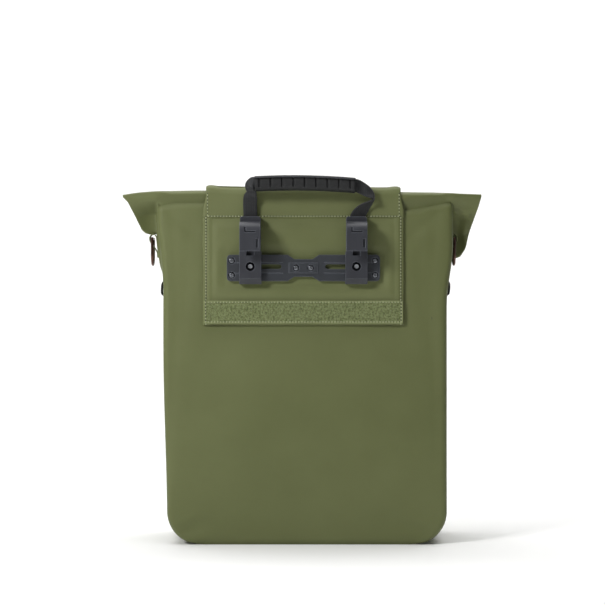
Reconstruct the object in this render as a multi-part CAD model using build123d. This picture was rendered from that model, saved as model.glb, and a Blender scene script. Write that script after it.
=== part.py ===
from build123d import *
import os
from math import atan2, cos, degrees, radians, sin, sqrt

# Roll-top pannier bag for a bicycle rack. Millimetres, +Z up, standing on the floor at Z = 0.
# The back of the bag, with its rack hooks, faces -Y. X = 0 is the middle of the back.

os.makedirs("parts", exist_ok=True)

# ---- bag body
bag_width = 325.0
bag_depth = 140.0
shoulder_height = 280.0  # the front starts to slope back to the mouth here
mouth_height = 340.0
back_height = 388.0  # the back wall stands up behind the rolled closure
mouth_depth = 49.0
mouth_flare = 13.0  # the mouth is this much wider than the body
lower_corner_radius = 36.0
edge_radius = 10.0
skin = 2.0

# ---- gap between pieces that move past each other, and between stacked soft pieces
slide_gap = 0.2
cloth_gap = 0.4

# ---- boards inside the bag
board_thickness = 1.5
board_side_margin = 12.0
base_board_thickness = 2.0
base_board_side_margin = 3.0
back_board_lift = 1.0

# ---- rolled closure
roll_overhang = 41.5  # how far the roll's ends stand out past the body
roll_height = 49.0
roll_thickness = 22.0
roll_wall = 3.0
roll_corner = 9.0
neck_height = 16.0
batten_thickness = 2.0
batten_margin = 50.0

# ---- mounting panel on the back
panel_width = 230.0
panel_bottom = 252.0
panel_top = 376.0
panel_thickness = 3.2
panel_board_thickness = 2.0
panel_board_margin = 4.0
loop_height = 26.0
loop_thickness = 1.5
loop_margin = 1.0
loop_lift = 2.0

# ---- flap over the roll
flap_thickness = 2.0
flap_front_length = 115.0
flap_front_setback = 2.6
flap_lift = 3.2  # from the roll's top to the flap's underside
flap_overhang = 2.0  # from the roll's front to the flap's front edge
flap_corner = 14.0
flap_rest_tilt = 12.0  # typical angle between the closed flap and the slope, for the stack's height
tape_height = 24.0
tape_thickness = 1.5
tape_margin = 8.0
tape_side_margin = 14.0
front_loop_length = 70.0
front_loop_margin = 2.0

# ---- rail
rail_length = 175.0
rail_height = 30.0
rail_thickness = 5.0
rail_centre_height = 317.5
rail_corner = 4.0
waist_length = 21.0
waist_height = 20.0
waist_taper = 9.0
plateau_length = 33.0
plateau_height = 11.6
plateau_rise = 1.0
slot_centre_height = 319.0
slot_inner_end = 25.0
slot_outer_end = 70.0
groove_width = 0.8
groove_depth = 0.5
groove_spacing = 12.0
groove_end_margin = 10.0

# ---- rivets
rivet_radius = 2.0
rivet_head_radius = 3.4
rivet_head_height = 1.4
rivet_crown_radius = 1.3
rivet_recess_radius = 4.0
rivet_recess_depth = 1.0
rivet_end_distance = 82.0
rivet_end_spread = 16.5
rivet_centre_distance = 8.4
rivet_tail_radius = 3.5
rivet_tail_height = 1.2
backing_height = 30.0

# ---- hooks
hook_distance = 60.5  # from the middle of the bag to the middle of each hook
hook_upper_width = 23.5
clamp_width = 25.0
clamp_thickness = 9.0
clamp_bottom = 299.0
clamp_chamfer = 6.5
lip_bottom = 336.0
lip_thickness = 4.0
tube_radius = 8.0  # bare jaw
tube_height = 358.0
hook_top = 376.0
hook_back_gap = 0.8
insert_thickness = 2.0
insert_width = 22.0
insert_leg = 6.0
fit_gap = 0.05
cap_corner = 2.5
notch_top_width = 17.0
notch_bottom_width = 13.0
notch_height = 4.4
notch_depth = 2.5
mark_depth = 2.2
mark_half_length = 6.5
mark_line = 2.0
mark_upright = 6.5
side_mark_inset = 2.15
side_mark_width = 2.8
side_mark_height = 10.0
side_mark_lift = 4.0

# ---- clamp screws, M5
screw_radius = 2.5
screw_head_radius = 3.9
screw_head_height = 3.5
screw_socket = 4.0
screw_socket_depth = 1.5
screw_chamfer = 0.4
screw_recess_radius = 5.25
screw_recess_depth = 4.5
washer_thickness = 0.8
washer_radius = 4.8
nut_width = 9.0
nut_thickness = 2.3

# ---- latches
pivot_height = 345.0
pivot_inset = 4.7  # from the jaw's back wall to the pivot
pin_radius = 1.5
latch_width = 8.0
latch_slot_width = 9.0
latch_hub_radius = 3.0
nose_length = 12.5
nose_above = 3.0
nose_below = 2.5
latch_clearance = 0.4
pocket_clearance = 0.5
latch_slot_above = 1.5
latch_slot_below = 1.2
latch_slot_floor = 1.4  # the latch slot stops this far in front of the rail
latch_swing = 85.0
tail_length = 6.0
tail_bar_radius = 1.3
tail_bar_width = 12.0
pocket_width = 14.0
spring_wire = 0.35
spring_radius = 2.2
spring_turns = 2.0
spring_coil_gap = 0.15
spring_side_gap = 0.3
pin_end_inset = 0.3
pin_gap = 0.02

# ---- handle
grip_length = 113.6
grip_standoff = 14.8  # from the panel to the middle of the grip
strap_setback = 5.2  # from the latch's pivot to the middle of the webbing inside the hook
grip_centre_x = 2.0
grip_bottom = 404.0
grip_height = 20.0
grip_thickness = 22.0
grip_corner = 7.0
grip_groove_spacing = 12.9
grip_groove_width = 2.0
grip_groove_height = 9.0
grip_groove_depth = 1.2
grip_groove_count = 9
web_width = 16.0
web_thickness = 2.0
strap_top = 395.5
strap_tongue_width = 10.0
strap_channel_gap = 0.6
strap_shoulder_rise = 3.0  # the strap narrows this far above the latch's tail
strap_tail_gap = 1.3  # from the tail bar up to the strap's end
web_end_gap = 2.0
web_drop_overlap = 1.8

# ---- side rings
ring_wire = 1.5
ring_width = 24.0
ring_side = 18.0
ring_y = -45.0
ring_standoff = 5.5  # from the bag's side to the ring's bar
ring_height = 352.0
tab_width = 18.0
tab_radius = 3.2
tab_tail = 24.0
tab_tail_thickness = 3.0
anchor_height = 13.0
anchor_centre_height = 291.0
anchor_width = 20.0
anchor_thickness = 3.0

# ---- widths and planes that several pieces share
mouth_width = bag_width + mouth_flare
roll_width = bag_width + 2 * roll_overhang
ring_offset = mouth_width / 2 + ring_standoff
wall_y = -bag_depth / 2
panel_y = wall_y - panel_thickness
rail_y = panel_y - rail_thickness
throat_y = rail_y - clamp_thickness
tube_y = throat_y - tube_radius
lip_y = tube_y - tube_radius - lip_thickness
pivot_y = throat_y + pivot_inset
inner_wall_y = wall_y + skin
backing_y = inner_wall_y + board_thickness
rivet_tail_y = backing_y + board_thickness
roll_y = wall_y + skin + cloth_gap
roll_bottom = mouth_height + neck_height
roll_top_z = roll_bottom + roll_height
flap_z = roll_top_z + flap_lift
flap_edge_y = roll_y + roll_thickness + flap_overhang
nut_y = panel_y - slide_gap
channel_depth = nut_thickness + 2 * slide_gap
strap_y = pivot_y + strap_setback
grip_y = panel_y - grip_standoff
grip_middle_height = grip_bottom + grip_height / 2


def block(x_low, x_high, y_low, y_high, z_low, z_high):
    """A box given by its limits."""
    centre = Pos((x_low + x_high) / 2, (y_low + y_high) / 2, (z_low + z_high) / 2)
    return centre * Box(x_high - x_low, y_high - y_low, z_high - z_low)


def bar_along_x(radius, x_low, x_high, y, z):
    """A round bar lying along X."""
    return Pos((x_low + x_high) / 2, y, z) * Rot(0, 90, 0) * Cylinder(radius, x_high - x_low)


def bar_along_y(radius, y_low, y_high, x, z):
    """A round bar lying along Y."""
    return Pos(x, (y_low + y_high) / 2, z) * Rot(90, 0, 0) * Cylinder(radius, y_high - y_low)


def rivet_places():
    """X, Z and seat Y of the six rivets: four at the rail's ends, two on its plateau."""
    places = []
    for side in (-1, 1):
        for level in (-1, 1):
            height = rail_centre_height + level * rivet_end_spread / 2
            places.append((side * rivet_end_distance, height, rail_y + rivet_recess_depth))
        seat = rail_y - plateau_rise + rivet_recess_depth
        places.append((side * rivet_centre_distance, rail_centre_height, seat))
    return places


def drill_for_rivets(piece):
    """Cut the rivet holes through a piece that the rivets pass."""
    for x, z, _ in rivet_places():
        piece -= bar_along_y(rivet_radius + fit_gap, rail_y - 5, rivet_tail_y + 5, x, z)
    return piece


def body_block(inset):
    """The body below its shoulder, with rounded lower corners, drawn in by the inset."""
    width = bag_width - 2 * inset
    depth = bag_depth - 2 * inset
    tall = 2 * shoulder_height
    outline = Pos(0, inset + tall / 2) * RectangleRounded(width, tall, lower_corner_radius - inset)
    body = extrude(Plane.XZ * outline, amount=depth / 2, both=True)
    plan = RectangleRounded(width, depth, edge_radius - inset)
    column = extrude(Plane.XY * plan, amount=shoulder_height)
    return body & column


def collar_block(inset):
    """The top of the body, from the shoulder to the narrow mouth. Its back stays upright."""
    low = RectangleRounded(bag_width - 2 * inset, bag_depth - 2 * inset, edge_radius - inset)
    high = RectangleRounded(mouth_width - 2 * inset, mouth_depth - 2 * inset, edge_radius - inset)
    high = Pos(0, wall_y + mouth_depth / 2) * high
    return loft([Plane.XY.offset(shoulder_height) * low, Plane.XY.offset(mouth_height) * high], ruled=True)


def make_bag_shell():
    """Hollow body. Its back wall carries on above the mouth, behind the roll."""
    shell = body_block(0) + collar_block(0)
    shell -= body_block(skin) + collar_block(skin)
    half = bag_width / 2
    shell += block(-half, half, wall_y, inner_wall_y, shoulder_height, back_height)
    return drill_for_rivets(shell)


def make_back_board():
    width = bag_width - 2 * skin - 2 * board_side_margin
    low = skin + base_board_thickness + back_board_lift
    high = mouth_height - cloth_gap
    tall = 2 * (high - low)
    outline = Pos(0, low + tall / 2) * RectangleRounded(width, tall, lower_corner_radius - skin)
    board = extrude(Plane.XZ * outline, amount=board_thickness / 2, both=True)
    board = Pos(0, inner_wall_y + board_thickness / 2) * board
    board &= block(-width, width, wall_y, 0, low, high)
    return drill_for_rivets(board)


def make_base_board():
    width = bag_width - 2 * lower_corner_radius - 2 * base_board_side_margin
    depth = bag_depth - 2 * skin - 2 * edge_radius
    plan = RectangleRounded(width, depth, edge_radius)
    return Pos(0, 0, skin) * extrude(plan, amount=base_board_thickness)


def make_neck():
    """Flattened cloth between the mouth and the roll. It is drawn out when the roll is let up."""
    low_depth = wall_y + mouth_depth - roll_y

    def tube(inset):
        low = RectangleRounded(mouth_width - 2 * inset, low_depth - 2 * inset, edge_radius - inset)
        high = RectangleRounded(mouth_width - 2 * inset, roll_thickness - 2 * inset, edge_radius - inset)
        low = Pos(0, roll_y + low_depth / 2) * low
        high = Pos(0, roll_y + roll_thickness / 2) * high
        bottom = Plane.XY.offset(mouth_height + cloth_gap) * low
        top = Plane.XY.offset(roll_bottom) * high
        return loft([bottom, top], ruled=True)

    return tube(0) - tube(skin)


def make_roll_top():
    def bar(inset):
        profile = RectangleRounded(roll_thickness - 2 * inset, roll_height - 2 * inset, roll_corner - inset)
        middle = (roll_y + roll_thickness / 2, roll_bottom + roll_height / 2)
        return extrude(Plane.YZ * Pos(*middle) * profile, amount=roll_width / 2 - inset, both=True)

    return bar(0) - bar(roll_wall)


def make_roll_batten():
    half = roll_width / 2 - roll_wall - batten_margin
    low = roll_y + roll_wall
    spread = (roll_height - 2 * roll_corner) / 2
    middle = roll_bottom + roll_height / 2
    return block(-half, half, low, low + batten_thickness, middle - spread, middle + spread)


def make_mount_panel():
    half = panel_width / 2
    cover = block(-half, half, panel_y, wall_y, panel_bottom, panel_top)
    inner = half - panel_board_margin
    low = panel_bottom + panel_board_margin
    high = panel_top - panel_board_margin
    cover -= block(-inner, inner, wall_y - panel_board_thickness, wall_y, low, high)
    return drill_for_rivets(cover)


def make_panel_board():
    half = panel_width / 2 - panel_board_margin - slide_gap
    low = panel_bottom + panel_board_margin + slide_gap
    high = panel_top - panel_board_margin - slide_gap
    return drill_for_rivets(block(-half, half, wall_y - panel_board_thickness, wall_y, low, high))


def make_loop_strip():
    half = panel_width / 2 - loop_margin
    low = panel_bottom + loop_lift
    return block(-half, half, panel_y - loop_thickness, panel_y, low, low + loop_height)


def slope_frame():
    """The plane of the body's sloping front: origin halfway up it, local Y running up the slope."""
    front_y = bag_depth / 2
    mouth_front_y = wall_y + mouth_depth
    run = front_y - mouth_front_y
    rise = mouth_height - shoulder_height
    length = sqrt(run * run + rise * rise)
    origin = (0, (front_y + mouth_front_y) / 2, (shoulder_height + mouth_height) / 2)
    return Plane(origin=origin, x_dir=(1, 0, 0), z_dir=(0, rise / length, run / length))


def make_front_loop_strip():
    plate = Box(panel_width - 2 * front_loop_margin, front_loop_length, loop_thickness)
    return slope_frame() * Pos(0, 0, loop_thickness / 2) * plate


def make_flap_back():
    half = panel_width / 2
    low = panel_top + cloth_gap
    return block(-half, half, panel_y, panel_y + flap_thickness, low, flap_z - cloth_gap)


def make_flap_top():
    half = panel_width / 2
    return block(-half, half, panel_y, flap_edge_y, flap_z, flap_z + flap_thickness)


def flap_front_angle():
    """Drop of the front flap, in degrees, that lays its end just over the front loop strip."""
    front_y = bag_depth / 2
    mouth_front_y = wall_y + mouth_depth
    slope = atan2(mouth_height - shoulder_height, front_y - mouth_front_y)
    stack = flap_thickness + tape_thickness + loop_thickness + 2 * cloth_gap
    run = front_y - flap_edge_y
    drop = flap_z + flap_thickness - shoulder_height
    reach = sqrt(run * run + drop * drop)
    distance = sin(atan2(drop, run) - slope) * reach - stack / cos(radians(flap_rest_tilt))
    return degrees(slope + asin_ratio(distance / flap_front_length))


def asin_ratio(value):
    """Angle in radians whose sine is the value."""
    return atan2(value, sqrt(1 - value * value))


def flap_front_frame():
    """Local X across the flap, local Y down its length, local Z out of its outer face."""
    drop = radians(flap_front_angle())
    origin = (0, flap_edge_y, flap_z + flap_thickness)
    return Plane(origin=origin, x_dir=(1, 0, 0), z_dir=(0, sin(drop), cos(drop)))


def make_flap_front():
    length = flap_front_length - flap_front_setback
    plate = RectangleRounded(panel_width, 2 * length, flap_corner)
    plate &= Pos(0, length / 2) * Rectangle(panel_width, length)
    solid = extrude(plate, amount=-flap_thickness)
    return flap_front_frame() * Pos(0, flap_front_setback, 0) * solid


def make_flap_tape():
    width = panel_width - 2 * tape_side_margin
    middle = flap_front_length - tape_margin - tape_height / 2
    tape = Box(width, tape_height, tape_thickness)
    return flap_front_frame() * Pos(0, middle, -flap_thickness - tape_thickness / 2) * tape


def make_rail():
    outline = RectangleRounded(rail_length, rail_height, rail_corner)
    half = waist_length / 2
    for level in (-1, 1):
        outer = level * (rail_height / 2 + 1)
        inner = level * waist_height / 2
        notch = [(-half - waist_taper, outer), (half + waist_taper, outer), (half, inner), (-half, inner)]
        outline -= make_face(Polyline(*notch, close=True))
    place = Pos(0, rail_y, rail_centre_height)
    rail = place * extrude(Plane.XZ * outline, amount=-rail_thickness)
    low = rail_centre_height - plateau_height / 2
    plateau = plateau_length / 2
    rail += block(-plateau, plateau, rail_y - plateau_rise, rail_y, low, low + plateau_height)
    slot_length = slot_outer_end - slot_inner_end
    slot_middle = (slot_outer_end + slot_inner_end) / 2
    slot_height = 2 * (screw_radius + slide_gap)
    channel_height = nut_width + 2 * slide_gap
    channel_length = slot_length + nut_width - 2 * screw_radius
    for side in (-1, 1):
        slot = Pos(side * slot_middle, slot_centre_height) * SlotOverall(slot_length, slot_height)
        rail -= Pos(0, rail_y - 1, 0) * extrude(Plane.XZ * slot, amount=-rail_thickness - 2)
        rail -= block(
            side * slot_middle - channel_length / 2,
            side * slot_middle + channel_length / 2,
            panel_y - channel_depth,
            panel_y,
            slot_centre_height - channel_height / 2,
            slot_centre_height + channel_height / 2,
        )
        groove_middle = side * (slot_inner_end + rail_length / 2 - groove_end_margin) / 2
        groove_length = slot_length + groove_end_margin
        for level in (-1, 1):
            z = rail_centre_height + level * groove_spacing / 2
            rail -= Pos(groove_middle, rail_y, z) * Box(groove_length, 2 * groove_depth, groove_width)
    for x, z, seat in rivet_places():
        rail -= bar_along_y(rivet_recess_radius, seat - 5, seat, x, z)
    return drill_for_rivets(rail)


def make_rail_rivets():
    rivets = []
    for x, z, seat in rivet_places():
        head = bar_along_y(rivet_head_radius, seat - rivet_head_height, seat, x, z)
        rim = head.edges().filter_by(GeomType.CIRCLE).sort_by(Axis.Y)[0]
        head = fillet(rim, rivet_crown_radius)
        shank = bar_along_y(rivet_radius, seat, rivet_tail_y, x, z)
        tail = bar_along_y(rivet_tail_radius, rivet_tail_y, rivet_tail_y + rivet_tail_height, x, z)
        rivets.append(head + shank + tail)
    return Compound(children=rivets)


def make_backing_plate():
    low = rail_centre_height - backing_height / 2
    half = rail_length / 2
    plate = block(-half, half, backing_y, backing_y + board_thickness, low, low + backing_height)
    return drill_for_rivets(plate)


def make_hook_body(side):
    x = side * hook_distance
    upper = hook_upper_width / 2
    lower = clamp_width / 2
    back_y = panel_y - hook_back_gap
    ledge_top = rail_centre_height - rail_height / 2 - slide_gap
    ledge_bottom = rail_centre_height + rail_height / 2 + slide_gap
    face_y = rail_y - slide_gap
    body = block(x - lower, x + lower, throat_y, face_y, clamp_bottom, lip_bottom)
    body += block(x - lower, x + lower, face_y, back_y, clamp_bottom, ledge_top)
    body += block(x - lower, x + lower, face_y, back_y, ledge_bottom, lip_bottom)
    post = block(x - upper, x + upper, throat_y, back_y, lip_bottom, hook_top)
    body += fillet(post.edges().filter_by(Axis.Y).group_by(Axis.Z)[-1], cap_corner)
    arch = bar_along_x(tube_radius + lip_thickness, x - upper, x + upper, tube_y, tube_height)
    arch &= block(x - upper, x + upper, lip_y, tube_y, tube_height, hook_top)
    arch += block(x - upper, x + upper, tube_y, back_y, tube_height, tube_height + tube_radius + lip_thickness)
    body += arch
    body += block(x - upper, x + upper, lip_y, lip_y + lip_thickness, lip_bottom, tube_height)
    body -= bar_along_x(tube_radius, x - lower, x + lower, tube_y, tube_height)
    body -= cut_chamfer(x, lower)
    body -= cut_notch(x)
    body -= cut_lip_marks(x)
    body -= cut_screw_seat(x)
    body -= cut_latch_room(x)
    return body


def cut_chamfer(x, half):
    """Wedge off the clamp's lower front edge."""
    points = [
        (throat_y - 1, clamp_bottom - 1),
        (throat_y - 1, clamp_bottom + clamp_chamfer + 1),
        (throat_y, clamp_bottom + clamp_chamfer),
        (throat_y + clamp_chamfer * 0.8, clamp_bottom),
        (throat_y + clamp_chamfer * 0.8, clamp_bottom - 1),
    ]
    wedge = make_face(Polyline(*points, close=True))
    return Pos(x, 0, 0) * extrude(Plane.YZ * wedge, amount=half + 1, both=True)


def cut_notch(x):
    """Finger relief in the clamp's front face, straight below the lip."""
    top = notch_top_width / 2
    bottom = notch_bottom_width / 2
    low = lip_bottom - notch_height
    points = [(x - top, lip_bottom), (x + top, lip_bottom), (x + bottom, low), (x - bottom, low)]
    face = Pos(0, throat_y + notch_depth, 0) * Plane.XZ * make_face(Polyline(*points, close=True))
    return extrude(face, amount=notch_depth + 1)


def cut_lip_marks(x):
    """Shallow L-shaped seat for the insert's clip and an upright slot, both in the lip's outer face."""
    depth_y = lip_y + mark_depth
    left = x - mark_half_length
    low = tube_height - mark_line / 2
    marks = block(left, x + mark_half_length, lip_y - 1, depth_y, low, low + mark_line)
    marks += block(left, left + mark_line, lip_y - 1, depth_y, low, low + mark_upright)
    right = x + hook_upper_width / 2 - side_mark_inset
    low = lip_bottom + side_mark_lift
    return marks + block(right - side_mark_width, right, lip_y - 1, depth_y, low, low + side_mark_height)


def cut_screw_seat(x):
    z = slot_centre_height
    hole = bar_along_y(screw_radius + fit_gap, throat_y - 1, panel_y, x, z)
    return hole + bar_along_y(screw_recess_radius, throat_y - 1, throat_y + screw_recess_depth, x, z)


def cut_latch_room(x):
    """Slot for the nose, pocket for the tail, channel for the webbing and the bore for the pin."""
    half_slot = latch_slot_width / 2
    half_pocket = pocket_width / 2
    half_web = web_width / 2 + strap_channel_gap
    half_channel = web_thickness / 2 + strap_channel_gap
    nose_room = nose_length + latch_slot_below
    room = block(
        x - half_slot,
        x + half_slot,
        throat_y - 1,
        rail_y - latch_slot_floor,
        pivot_height - nose_room,
        pivot_height + nose_above + latch_slot_above,
    )
    tail_room = tail_length + tail_bar_radius + pocket_clearance
    low = pivot_height - tail_room
    high = pivot_height + tail_room
    room += block(x - half_pocket, x + half_pocket, pivot_y, panel_y, low, high)
    room += block(
        x - half_web,
        x + half_web,
        strap_y - half_channel,
        strap_y + half_channel,
        high - slide_gap,
        hook_top + 1,
    )
    hub = latch_hub_radius + latch_clearance
    room += bar_along_x(hub, x - half_pocket, x + half_pocket, pivot_y, pivot_height)
    room += bar_along_x(pin_radius + pin_gap, x - clamp_width, x + clamp_width, pivot_y, pivot_height)
    return room


def make_clamp_nut(side):
    x = side * hook_distance
    half = nut_width / 2
    low = slot_centre_height - half
    nut = block(x - half, x + half, nut_y - nut_thickness, nut_y, low, low + nut_width)
    return nut - bar_along_y(screw_radius + fit_gap, nut_y - 5, nut_y + 1, x, slot_centre_height)


def make_clamp_screw(side):
    x = side * hook_distance
    z = slot_centre_height
    seat = throat_y + screw_recess_depth - washer_thickness
    head = bar_along_y(screw_head_radius, seat - screw_head_height, seat, x, z)
    rim = head.edges().filter_by(GeomType.CIRCLE).sort_by(Axis.Y)[0]
    head = chamfer(rim, screw_chamfer)
    socket = RegularPolygon(screw_socket / 2, 6, major_radius=False)
    floor_y = seat - screw_head_height + screw_socket_depth
    head -= Pos(x, floor_y, z) * extrude(Plane.XZ * socket, amount=screw_head_height)
    return head + bar_along_y(screw_radius, seat, nut_y, x, z)


def make_clamp_washer(side):
    x = side * hook_distance
    seat = throat_y + screw_recess_depth
    washer = bar_along_y(washer_radius, seat - washer_thickness, seat, x, slot_centre_height)
    return washer - bar_along_y(screw_radius + fit_gap, seat - 3, seat + 3, x, slot_centre_height)


def make_tube_insert(side):
    """Half-round liner that brings the jaw down to a thinner rack tube."""
    x = side * hook_distance
    half = insert_width / 2
    outer = tube_radius - fit_gap
    inner = tube_radius - insert_thickness
    low = tube_height - insert_leg
    liner = bar_along_x(outer, x - half, x + half, tube_y, tube_height)
    liner += block(x - half, x + half, tube_y - outer, tube_y + outer, low, tube_height)
    liner &= block(x - half, x + half, tube_y - outer, tube_y + outer, low, tube_height + outer)
    liner -= bar_along_x(inner, x - half - 1, x + half + 1, tube_y, tube_height)
    liner -= block(x - half - 1, x + half + 1, tube_y - inner, tube_y + inner, low - 1, tube_height)
    return liner


def make_latch(side):
    """Nose that closes the jaw from below, and the tail bar that the webbing pulls."""
    x = side * hook_distance
    half = latch_width / 2
    latch = bar_along_x(latch_hub_radius, x - half, x + half, pivot_y, pivot_height)
    nose_top = pivot_height + nose_above
    nose_low = pivot_height - nose_below
    latch += block(x - half, x + half, pivot_y - nose_length, pivot_y, nose_low, nose_top)
    start = latch_swing / 2
    arm = Pos(0, tail_length / 2, 0) * Box(latch_width, tail_length, 2 * tail_bar_radius)
    latch += Pos(x, pivot_y, pivot_height) * Rot(-start, 0, 0) * arm
    bar_y = pivot_y + tail_length * cos(radians(start))
    bar_z = pivot_height - tail_length * sin(radians(start))
    bar = tail_bar_width / 2
    latch += bar_along_x(tail_bar_radius, x - bar, x + bar, bar_y, bar_z)
    bore = bar_along_x(pin_radius + fit_gap, x - clamp_width, x + clamp_width, pivot_y, pivot_height)
    return latch - bore


def make_latch_pin(side):
    x = side * hook_distance
    half = hook_upper_width / 2 - pin_end_inset
    return bar_along_x(pin_radius, x - half, x + half, pivot_y, pivot_height)


def make_latch_spring(side):
    """Coil of the torsion spring, round the pin beside the latch."""
    x = side * hook_distance + latch_width / 2 + spring_wire + spring_side_gap
    pitch = 2 * spring_wire + spring_coil_gap
    path = Helix(pitch, pitch * spring_turns, spring_radius)
    wire = sweep(Plane(origin=path @ 0, z_dir=path % 0) * Circle(spring_wire), path=path)
    return Pos(x, pivot_y, pivot_height) * Rot(0, 90, 0) * wire


def make_grip():
    profile = RectangleRounded(grip_thickness, grip_height, grip_corner)
    bar = extrude(Plane.YZ * Pos(grip_y, grip_middle_height) * profile, amount=grip_length / 2, both=True)
    half = web_width / 2 + fit_gap
    thick = web_thickness / 2 + fit_gap
    length = grip_length
    low = grip_middle_height - half
    bar -= block(-length, length, grip_y - thick, grip_y + thick, low, low + 2 * half)
    first = -(grip_groove_count - 1) / 2 * grip_groove_spacing
    for index in range(grip_groove_count):
        groove_x = first + index * grip_groove_spacing
        for face in (-1, 1):
            face_y = grip_y + face * grip_thickness / 2
            groove = Box(grip_groove_width, 2 * grip_groove_depth, grip_groove_height)
            bar -= Pos(groove_x, face_y, grip_middle_height) * groove
    return Pos(grip_centre_x, 0, 0) * bar


def make_handle_web():
    """Webbing through the grip, turned down at both ends towards the hooks."""
    half = web_width / 2
    thick = web_thickness / 2
    left = grip_centre_x - grip_length / 2 - web_end_gap
    right = grip_centre_x + grip_length / 2 + web_end_gap
    low = grip_middle_height - half
    web = block(left - 1, right + 1, grip_y - thick, grip_y + thick, low, low + web_width)
    drop = [
        (grip_y - thick, low + web_width),
        (grip_y + thick, low + web_width),
        (grip_y + thick, low),
        (strap_y + thick, strap_top + web_drop_overlap),
        (strap_y - thick, strap_top + web_drop_overlap),
        (grip_y - thick, low),
    ]
    fall = extrude(Plane.YZ * make_face(Polyline(*drop, close=True)), amount=web_width - 2)
    return web + Pos(left - web_width + 2, 0, 0) * fall + Pos(right, 0, 0) * fall


def make_strap(side):
    """Flat webbing from below the grip down into the hook, ending over the latch's tail bar."""
    x = side * hook_distance
    half = web_width / 2
    tongue = strap_tongue_width / 2
    thick = web_thickness / 2
    shoulder = pivot_height + tail_length + strap_shoulder_rise
    tail_top = pivot_height - tail_length * sin(radians(latch_swing / 2)) + tail_bar_radius
    strap = block(x - half, x + half, strap_y - thick, strap_y + thick, shoulder, strap_top)
    low = tail_top + strap_tail_gap
    return strap + block(x - tongue, x + tongue, strap_y - thick, strap_y + thick, low, shoulder)


def make_ring(side):
    """D-ring that hangs on its tab, with its straight bar along Y."""
    half = ring_width / 2
    path = Line((-half, 0), (half, 0))
    path += Line((half, 0), (half, -ring_side))
    path += ThreePointArc((half, -ring_side), (0, -ring_side - half), (-half, -ring_side))
    path += Line((-half, -ring_side), (-half, 0))
    start = Plane(origin=(0, 0, 0), z_dir=(1, 0, 0))
    loop = sweep(start * Circle(ring_wire), path=Wire(path.edges()), transition=Transition.ROUND)
    upright = Plane(origin=(side * ring_offset, ring_y, ring_height), x_dir=(0, 1, 0), z_dir=(1, 0, 0))
    return upright * loop


def make_ring_tab(side):
    """Cloth loop sewn to the side of the bag, folded round the ring's bar."""
    low_y = ring_y - tab_width / 2
    high_y = ring_y + tab_width / 2
    wall_x = mouth_width / 2
    inner = min(side * wall_x, side * (wall_x + tab_tail_thickness))
    outer = max(side * wall_x, side * (wall_x + tab_tail_thickness))
    tab = bar_along_y(tab_radius, low_y, high_y, side * ring_offset, ring_height)
    tab += block(inner, outer, low_y, high_y, ring_height - tab_tail, ring_height)
    return tab - bar_along_y(ring_wire + fit_gap, low_y - 1, high_y + 1, side * ring_offset, ring_height)


def wall_half_width(height):
    """Half the body's width at a height between its shoulder and its mouth, where it flares."""
    share = (height - shoulder_height) / (mouth_height - shoulder_height)
    return (bag_width + mouth_flare * share) / 2


def make_anchor_tab(side):
    """Short webbing tab sewn to the side of the bag below the ring."""
    low = anchor_centre_height - anchor_height / 2
    wall_x = wall_half_width(low + anchor_height)
    inner = side * wall_x
    outer = side * (wall_x + anchor_thickness)
    half = anchor_width / 2
    near = ring_y - half
    return block(min(inner, outer), max(inner, outer), near, near + anchor_width, low, low + anchor_height)


pieces = {
    "bag_shell": make_bag_shell(),
    "back_board": make_back_board(),
    "base_board": make_base_board(),
    "neck": make_neck(),
    "roll_top": make_roll_top(),
    "roll_batten": make_roll_batten(),
    "mount_panel": make_mount_panel(),
    "panel_board": make_panel_board(),
    "loop_strip": make_loop_strip(),
    "front_loop_strip": make_front_loop_strip(),
    "flap_back": make_flap_back(),
    "flap_top": make_flap_top(),
    "flap_front": make_flap_front(),
    "flap_tape": make_flap_tape(),
    "rail": make_rail(),
    "rail_rivets": make_rail_rivets(),
    "backing_plate": make_backing_plate(),
    "grip": make_grip(),
    "handle_web": make_handle_web(),
}
for label, side in (("left", -1), ("right", 1)):
    pieces["hook_body_" + label] = make_hook_body(side)
    pieces["clamp_nut_" + label] = make_clamp_nut(side)
    pieces["clamp_screw_" + label] = make_clamp_screw(side)
    pieces["clamp_washer_" + label] = make_clamp_washer(side)
    pieces["tube_insert_" + label] = make_tube_insert(side)
    pieces["latch_" + label] = make_latch(side)
    pieces["latch_pin_" + label] = make_latch_pin(side)
    pieces["latch_spring_" + label] = make_latch_spring(side)
    pieces["strap_" + label] = make_strap(side)
    pieces["ring_" + label] = make_ring(side)
    pieces["ring_tab_" + label] = make_ring_tab(side)
    pieces["anchor_tab_" + label] = make_anchor_tab(side)

for node, shape in pieces.items():
    export_step(shape, "parts/" + node + ".step")
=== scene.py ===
from math import cos, pi, radians, sin, sqrt

import bpy
import numpy as np
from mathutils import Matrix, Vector, noise


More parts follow.
